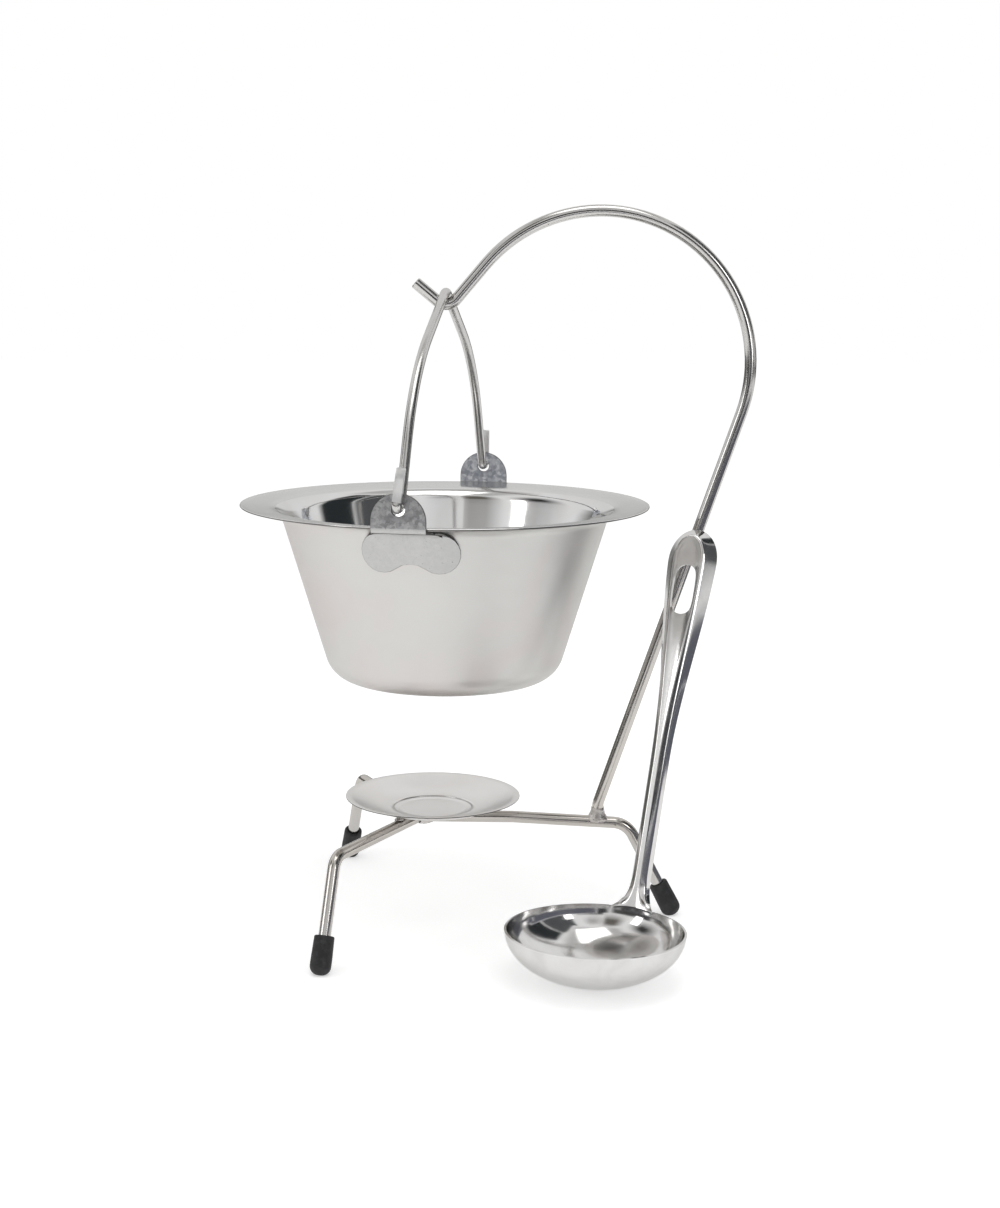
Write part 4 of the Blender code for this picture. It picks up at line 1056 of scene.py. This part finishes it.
# %% Fillet at the arm's foot
FILLET = [(5.9, 0.6), (5.6, 1.8), (4.7, 3.0), (3.9, 4.4), (3.5, 6.2), (3.2, 7.6)]
FILLET_THIN = 0.64
FILLET_LOW = 0.6 * MM
FILLET_TOP = 7.6 * MM
FILLET_STEP = 0.35 * MM
FILLET_STEPS = 56
FILLET_LUMP = 0.9 * MM

foot = spine_at(ARM_REACH)
flare = [Vector((reach * MM, 0.0, height * MM)) for reach, height in FILLET]
outline = [UP * FILLET_LOW, *flare, UP * FILLET_TOP]
fillet_mesh = spun("arm_fillet", stepped(outline, FILLET_STEP), FILLET_STEPS,
                   Matrix.Translation(foot))
for vert in fillet_mesh.vertices:
    share = min((vert.co.z - foot.z) / FILLET_TOP, 1.0)
    vert.co.y *= FILLET_THIN + (1 - FILLET_THIN) * share
fillet = finished("arm_fillet", fillet_mesh, "stand", "weld", "arm_weld", weld_finish)
modify(fillet, "puddle", "DISPLACE", texture=lumps, strength=FILLET_LUMP)

# %% [markdown]
# ## Ladle
# The ladle is pressed from one sheet. The bowl is a full, round curve. Its brim runs up into a
# folded channel with three faces in front, which widens to a leaf with a slot. The cage is drawn
# coarse, one column of edges for each fold, and the folds get a crease. A subdivision surface
# makes the rest flow, and then the sheet gets its thickness and soft edges.

# %% Sizes of the ladle
LADLE_SHEET = 1.1 * MM
LADLE_EDGE = 0.2 * MM
LADLE_TURN = radians(27.9)
LADLE_TILT = radians(1.7)
LADLE_LEAN = radians(17.3)
LADLE_BOWL = 42.77 * MM
BOWL_DEPTH = 25.3 * MM
HANDLE = 190.0 * MM
HANDLE_TIP = 16.0 * MM
HANDLE_FLARE = 17.0 * MM
ROOT_SPAN = radians(15.0)
SWELL_RUN = 110.0 * MM
SWELL_TO_TOP = 7.0 * MM
COLUMNS = 4
BOWL_STEPS = round(2 * pi * COLUMNS / ROOT_SPAN)
BOWL_RINGS = 12
FLARE_ROWS = 6
HANDLE_ROWS = 13
TIP_ROWS = 6
LADLE_PLACE = Vector((80.94, -99.944, -30.211)) * MM
NECK = ((0.6, 0.0), (1.2, 0.0), (3.9, 1.6), (4.6, 5.5))
LEAF = ((4.4, 1.1), (7.6, 0.5), (8.7, 1.4), (13.3, 6.4))
LEAF_DISH = 1.0 * MM
SLOT_TOP = HANDLE - 19.2 * MM
SLOT_LENGTH = 24.8 * MM
SLOT_HALF = 5.3 * MM
BELOW_SLOT = 4.0 * MM
print("ladle columns:", 2 * COLUMNS + 1)

# %% [markdown]
# ## Rows of the handle
# Each row of the cage runs from one edge of the channel to the other, through the same columns.
# Its half-widths and depths swell from those of the neck to those of the leaf. The rows bend
# round the slot, and the last ones close in on the rounded tip.

# %% Rows of the channel
def section(along):
    """Half-widths and depths of the channel's columns from the middle to the edge."""
    swell = smooth_step(1 - (HANDLE - SWELL_TO_TOP - along) / SWELL_RUN)
    places = [Vector(neck).lerp(Vector(leaf), swell) * MM for neck, leaf in zip(NECK, LEAF)]
    return [(place.x, place.y) for place in places], LEAF_DISH * swell


def on_handle(along, across, behind):
    """A point of the handle from its distance up, its offset and its depth."""
    rim = LADLE_BOWL - LADLE_SHEET
    run = Vector((0.0, sin(LADLE_LEAN), cos(LADLE_LEAN)))
    back = Vector((0.0, cos(LADLE_LEAN), -sin(LADLE_LEAN)))
    return Vector((across, rim, 0.0)) + run * along + back * behind


def row_at(along, inner=None, inner_along=None, middle_along=None):
    """One row of the channel, from its left edge to its right.

    Beside the slot, inner is the half-width of the column next to the middle one, and the other
    two distances bend the row round the slot's end.
    """
    half, dish = section(along)
    spots = [(across, along, behind) for across, behind in half]
    if inner is not None:
        spots[0] = (inner, inner_along or along, half[0][1])
    right = [on_handle(up, across, behind) for across, up, behind in spots]
    left = [on_handle(up, -across, behind) for across, up, behind in reversed(spots)]
    return left + [on_handle(middle_along or along, 0.0, dish)] + right


# %% Rows round the slot
SLOT_LOW = SLOT_TOP - SLOT_LENGTH
SLOT_ROUND = 1.1 * SLOT_HALF
LOW_CENTER = SLOT_LOW + SLOT_HALF
HIGH_CENTER = SLOT_TOP - SLOT_HALF
SLOT_SIDE = 1.03 * SLOT_HALF
SLOT_CORNER = 0.75 * SLOT_ROUND


def slot_rows():
    """The rows that bend round the slot, from below it to above it."""
    low_end = LOW_CENTER - SLOT_ROUND
    high_end = HIGH_CENTER + SLOT_ROUND
    return [
        row_at(LOW_CENTER - SLOT_CORNER, SLOT_CORNER, LOW_CENTER - SLOT_CORNER, low_end),
        row_at(LOW_CENTER, SLOT_SIDE),
        row_at((LOW_CENTER + HIGH_CENTER) / 2, SLOT_SIDE),
        row_at(HIGH_CENTER, SLOT_SIDE),
        row_at(HIGH_CENTER + SLOT_CORNER, SLOT_CORNER, HIGH_CENTER + SLOT_CORNER, high_end),
    ]


# %% Rows of the handle
def tip_rows(tip_center):
    """The rows that close in on the rounded tip."""
    half, dish = section(tip_center)
    reach = half[-1][0]
    rows = []
    for count in range(1, TIP_ROWS + 1):
        angle = pi / 2 * count / TIP_ROWS
        right = []
        left = []
        for across, behind in half:
            rise = HANDLE_TIP * (across / reach) ** 0.5 * sin(angle)
            right.append(on_handle(tip_center + rise, across * cos(angle), behind))
            left.append(on_handle(tip_center + rise, -across * cos(angle), behind))
        rows.append(left[::-1] + [on_handle(tip_center, 0.0, dish)] + right)
    return rows


def handle_rows(root):
    """Goals for every row above the root row, which lies on the brim."""
    tip_center = HANDLE - HANDLE_TIP
    rows = []
    for count in range(1, FLARE_ROWS + 1):
        along = HANDLE_FLARE * (count / FLARE_ROWS) ** 2
        settle = 1 - (1 - along / HANDLE_FLARE) ** 3
        lift = on_handle(along, 0.0, 0.0) - on_handle(0.0, 0.0, 0.0)
        rows.append([(start + lift).lerp(goal, settle) for start, goal in zip(root, row_at(along))])
    last = SLOT_LOW - BELOW_SLOT
    for count in range(1, HANDLE_ROWS + 1):
        rows.append(row_at(HANDLE_FLARE + (last - HANDLE_FLARE) * count / HANDLE_ROWS))
    return [*rows, *slot_rows(), row_at(tip_center), *tip_rows(tip_center)]


# %% [markdown]
# ## Bowl and handle in one skin
# The bowl is spun from a quarter of an oval. A short stretch of its brim at the back is the
# handle's root, and its edges are extruded row by row to the places that were worked out. The
# faces of the slot are taken out at the end.

# %% Bowl of the ladle
BOWL_MERGE = 0.003 * MM

built = bmesh.new()
inner = LADLE_BOWL - LADLE_SHEET
depth = BOWL_DEPTH - LADLE_SHEET
profile = []
for count in range(1, BOWL_RINGS + 1):
    angle = pi / 2 * count / BOWL_RINGS
    profile.append(built.verts.new((0.0, inner * sin(angle), -depth * cos(angle))))
lines = [built.edges.new(pair) for pair in zip(profile, profile[1:])]
bmesh.ops.spin(built, geom=profile + lines, cent=MIDDLE_POINT, axis=UPRIGHT,
               angle=2 * pi, steps=BOWL_STEPS, use_merge=True)
bmesh.ops.remove_doubles(built, verts=built.verts, dist=BOWL_MERGE)
low = min(vert.co.z for vert in built.verts)
lowest_verts = {vert for vert in built.verts if abs(vert.co.z - low) < BOWL_MERGE}
hole = [edge for edge in built.edges if all(vert in lowest_verts for vert in edge.verts)]
bottom = bmesh.ops.contextual_create(built, geom=hole)["faces"]
bmesh.ops.poke(built, faces=bottom, offset=0.0)
print("bowl:", len(built.faces), "faces")

# %% Handle of the ladle
FOLD_CREASE = 0.45
FOLD_FADE = 0.3
FADE_START = 18
FADE_ROWS = 6
SLOT_BAND_COUNT = 4
FIRST_SLOT_BAND = FLARE_ROWS + HANDLE_ROWS + 1
FOLD_COLUMNS = (COLUMNS - 3, COLUMNS - 2, COLUMNS + 2, COLUMNS + 3)
SLOT_BANDS = range(FIRST_SLOT_BAND, FIRST_SLOT_BAND + SLOT_BAND_COUNT)

brim = sorted((vert for vert in built.verts if abs(vert.co.z) < BOWL_MERGE),
              key=lambda vert: abs(atan2(vert.co.x, vert.co.y)))
root = sorted(brim[:2 * COLUMNS + 1], key=lambda vert: vert.co.x)
crease = built.edges.layers.float.new("crease_edge")
edges = [edge for edge in built.edges if all(vert in root for vert in edge.verts)]
doomed = []
for number, row in enumerate(handle_rows([vert.co.copy() for vert in root])):
    fresh, edges, faces = extruded(built, edges)
    fresh.sort(key=lambda vert: vert.co.x)
    for vert, goal in zip(fresh, row):
        vert.co = goal
    if number in SLOT_BANDS:
        doomed += [face for face in faces if fresh[COLUMNS] in face.verts]
    begin = smooth_step((number + 2) / FLARE_ROWS)
    fade = 1 - FOLD_FADE * smooth_step((number - FADE_START) / FADE_ROWS)
    for column in FOLD_COLUMNS:
        for edge in fresh[column].link_edges:
            if edge.other_vert(fresh[column]) not in fresh:
                edge[crease] = FOLD_CREASE * begin * fade
bmesh.ops.delete(built, geom=doomed, context="FACES")
bmesh.ops.remove_doubles(built, verts=built.verts, dist=BOWL_MERGE)
bmesh.ops.recalc_face_normals(built, faces=built.faces)
lowest = min(built.faces, key=lambda face: face.calc_center_median().z)
if lowest.normal.z > 0.0:
    bmesh.ops.reverse_faces(built, faces=built.faces)
print("bowl and handle:", len(built.faces), "faces")

# %% Finish the ladle
LADLE_SHARP = radians(50.0)

ladle_mesh = smooth_mesh("ladle_body", built)
stance = Matrix.Rotation(-LADLE_TURN, 4, "Z") @ Matrix.Rotation(-LADLE_TILT, 4, "X")
ladle_mesh.transform(Matrix.Translation(LADLE_PLACE) @ stance)
ladle = finished("ladle_body", ladle_mesh, "ladle", "ladle", "ladle", ladle_finish)
modify(ladle, "flow", "SUBSURF", levels=2, render_levels=2)
modify(ladle, "wall", "SOLIDIFY", thickness=LADLE_SHEET, offset=1.0, use_even_offset=True)
modify(ladle, "edge", "BEVEL", width=LADLE_EDGE, segments=2, limit_method="ANGLE",
       angle_limit=LADLE_SHARP, harden_normals=True)

# %% [markdown]
# ## Floor and room
# The floor and the room are white, as in a light tent. The world is a plain white for what the
# camera sees and for what the metal mirrors, and a little dimmer as a light. The floor glows
# faintly, so that it is white too and keeps a soft shadow under the feet.

# %% Stage
WHITE = (1.0, 1.0, 1.0, 1.0)
FLOOR_GRAY = (0.80, 0.80, 0.80, 1.0)
FLOOR_GLOW = 0.42
FLOOR_SIZE = 6.0
ROOM_LIGHT = 0.74


def add_stage(name, size, place, material):
    """A flat square that belongs to the studio and not to the object."""
    mesh = bpy.data.meshes.new(name)
    built = bmesh.new()
    bmesh.ops.create_grid(built, x_segments=1, y_segments=1, size=size)
    built.to_mesh(mesh)
    built.free()
    piece = bpy.data.objects.new(name, mesh)
    piece.matrix_world = place
    bpy.context.scene.collection.objects.link(piece)
    mesh.materials.append(material)
    return piece


floor_look = Shader("floor")
floor_look.set({
    "Base Color": FLOOR_GRAY,
    "Roughness": 1.0,
    "Specular IOR Level": 0.0,
    "Emission Color": WHITE,
    "Emission Strength": FLOOR_GLOW,
})
add_stage("floor", FLOOR_SIZE, Matrix.Translation((0.0, 0.0, FLOOR)), floor_look.material)

world = bpy.data.worlds.new("room")
world.use_nodes = True
tree = world.node_tree
background = tree.nodes["Background"]
background.inputs["Color"].default_value = WHITE
kind = tree.nodes.new("ShaderNodeLightPath")
seen = Wire(tree, kind.outputs["Is Camera Ray"])
for other in ("Is Glossy Ray", "Is Transmission Ray"):
    seen = seen.math("MAXIMUM", seen, Wire(tree, kind.outputs[other]))
plug(tree, background.inputs["Strength"], seen * (1.0 - ROOM_LIGHT) + ROOM_LIGHT)
bpy.context.scene.world = world
print("world level as a light:", ROOM_LIGHT)

# %% [markdown]
# ## Dark cards and soft lamps
# A round rod in an all-white tent looks flat. Photographers hang dark cards round a polished
# object, and the metal shows them as the dark bands that draw its shape. These cards stand on
# a ring round the object and are seen only in reflections. Each is placed by its bearing from
# the camera's side of the object, left being negative, and by the elevations that it spans.
# Their edges fade to white, because a real card is out of focus in a small curved mirror. The
# low ones darken the rods and the foot of the pot's wall, and the high ones show in the pot's
# mouth and on the ladle.

# %% Helpers for cards
LOOK_FROM = Vector((0.03, 0.0, 0.12))
CARD_AWAY = 2.4
CARD_FADE = 0.3


def card_look(name, color, fade=CARD_FADE):
    """A glow of one colour that fades to white over a share of the card towards its edges."""
    made = Shader(name)
    inside = 1.0
    for side in made.axes(made.place())[:2]:
        inside = inside * made.span(abs(side), 1.0 - fade, 1.0, 1.0, 0.0)
    made.set({
        "Base Color": (0.0, 0.0, 0.0, 1.0),
        "Roughness": 1.0,
        "Specular IOR Level": 0.0,
        "Emission Color": made.mix(inside, (1.0, 1.0, 1.0), color),
        "Emission Strength": 1.0,
    })
    return made.material


def mirrored_only(card):
    """Leave a card out of all but reflections."""
    card.visible_camera = False
    card.visible_shadow = False
    card.visible_diffuse = False


def add_card(name, bearing, width, low, high, color, away=CARD_AWAY, center=LOOK_FROM,
             fade=CARD_FADE):
    """A card from its bearing, width and low and high elevations in degrees."""
    bottom = away * tan(radians(low))
    top = away * tan(radians(high))
    half = away * tan(radians(width / 2))
    turn = Matrix.Rotation(radians(bearing), 4, "Z")
    place = Matrix.Translation(center) @ turn @ Matrix.Translation((0.0, -away, (bottom + top) / 2))
    shape = Matrix.Rotation(pi / 2, 4, "X") @ Matrix.Diagonal((half, (top - bottom) / 2, 1.0, 1.0))
    mirrored_only(add_stage(name, 1.0, place @ shape, card_look(name, color, fade)))


# %% Cards
# The low cards reach below the floor, so that only their other edges fade.
add_card("camera_card", 4.0, 48.0, -24.0, 24.0, (0.05, 0.05, 0.055))
add_card("left_low_card", -50.0, 66.0, -24.0, 15.0, (0.06, 0.06, 0.06))
add_card("left_back_low_card", -118.0, 80.0, -24.0, 13.0, (0.15, 0.15, 0.14))
add_card("back_low_card", 178.0, 76.0, -24.0, 10.0, (0.30, 0.30, 0.30))
add_card("right_back_low_card", 122.0, 66.0, -24.0, 9.0, (0.15, 0.15, 0.15))
add_card("right_low_card", 62.0, 72.0, -24.0, 6.0, (0.16, 0.16, 0.17))
add_card("camera_high_card", 4.0, 34.0, 22.0, 56.0, (0.55, 0.55, 0.55), 2.3, fade=0.8)
add_card("left_warm_card", -25.0, 44.0, 13.0, 58.0, (0.15, 0.14, 0.125), fade=0.7)
add_card("left_high_card", -81.0, 54.0, 13.0, 52.0, (0.04, 0.04, 0.04), fade=0.8)
add_card("right_high_card", 56.0, 48.0, 7.0, 62.0, (0.10, 0.105, 0.11), 2.2, fade=0.2)
add_card("right_card", 88.0, 54.0, 0.0, 60.0, (0.03, 0.035, 0.038), fade=0.25)

# %% [markdown]
# ## Screens near the ladle, and a ceiling
# The ladle's bowl lies low in front of the arm, and mirrors what is near it. Small bluish
# screens stand close round it, with harder edges, and a gray ceiling takes the glare from all
# that looks up.

# %% Screens and ceiling
NEAR_LADLE = Vector((0.10, -0.06, 0.0))
SCREEN = (0.14, 0.145, 0.175)
SCREEN_FADE = 0.12
CEILING_GRAY = (0.60, 0.60, 0.59)
CEILING_PLACE = (0.0, -0.1, 2.0)
CEILING_HALF = 1.1

add_card("front_screen", 22.0, 56.0, -26.0, 18.0, SCREEN, 0.42, NEAR_LADLE, SCREEN_FADE)
add_card("right_screen", 68.0, 58.0, -26.0, 18.0, SCREEN, 0.42, NEAR_LADLE, SCREEN_FADE)
add_card("back_screen", 112.0, 52.0, -4.0, 8.0, SCREEN, 0.27, NEAR_LADLE, SCREEN_FADE)
face_down = Matrix.Rotation(pi, 4, "X") @ Matrix.Scale(CEILING_HALF, 4)
ceiling_look = card_look("ceiling_card", CEILING_GRAY)
mirrored_only(add_stage("ceiling_card", 1.0, Matrix.Translation(CEILING_PLACE) @ face_down,
                        ceiling_look))

# %% [markdown]
# ## Lamps
# A large soft box overhead makes the shadow under the feet, and a narrow one at each side draws
# a thin highlight along the rods.

# %% Lamps
def add_lamp(name, place, target, size, power):
    """A soft box from its place, aimed at a target."""
    lamp = bpy.data.lights.new(name, "AREA")
    lamp.shape = "RECTANGLE"
    lamp.size, lamp.size_y = size
    lamp.energy = power
    made = bpy.data.objects.new(name, lamp)
    made.location = place
    made.rotation_euler = (Vector(target) - Vector(place)).to_track_quat("-Z", "Y").to_euler()
    bpy.context.scene.collection.objects.link(made)


MIDDLE = (0.02, 0.0, 0.1)
add_lamp("top_box", (0.1, -0.3, 1.6), MIDDLE, (0.9, 0.9), 5.0)
add_lamp("left_box", (-1.5, -0.9, 0.75), MIDDLE, (0.35, 0.9), 3.0)
add_lamp("right_box", (1.1, -1.4, 0.6), MIDDLE, (0.3, 0.9), 3.5)
print("lamps:", len(bpy.data.lights))
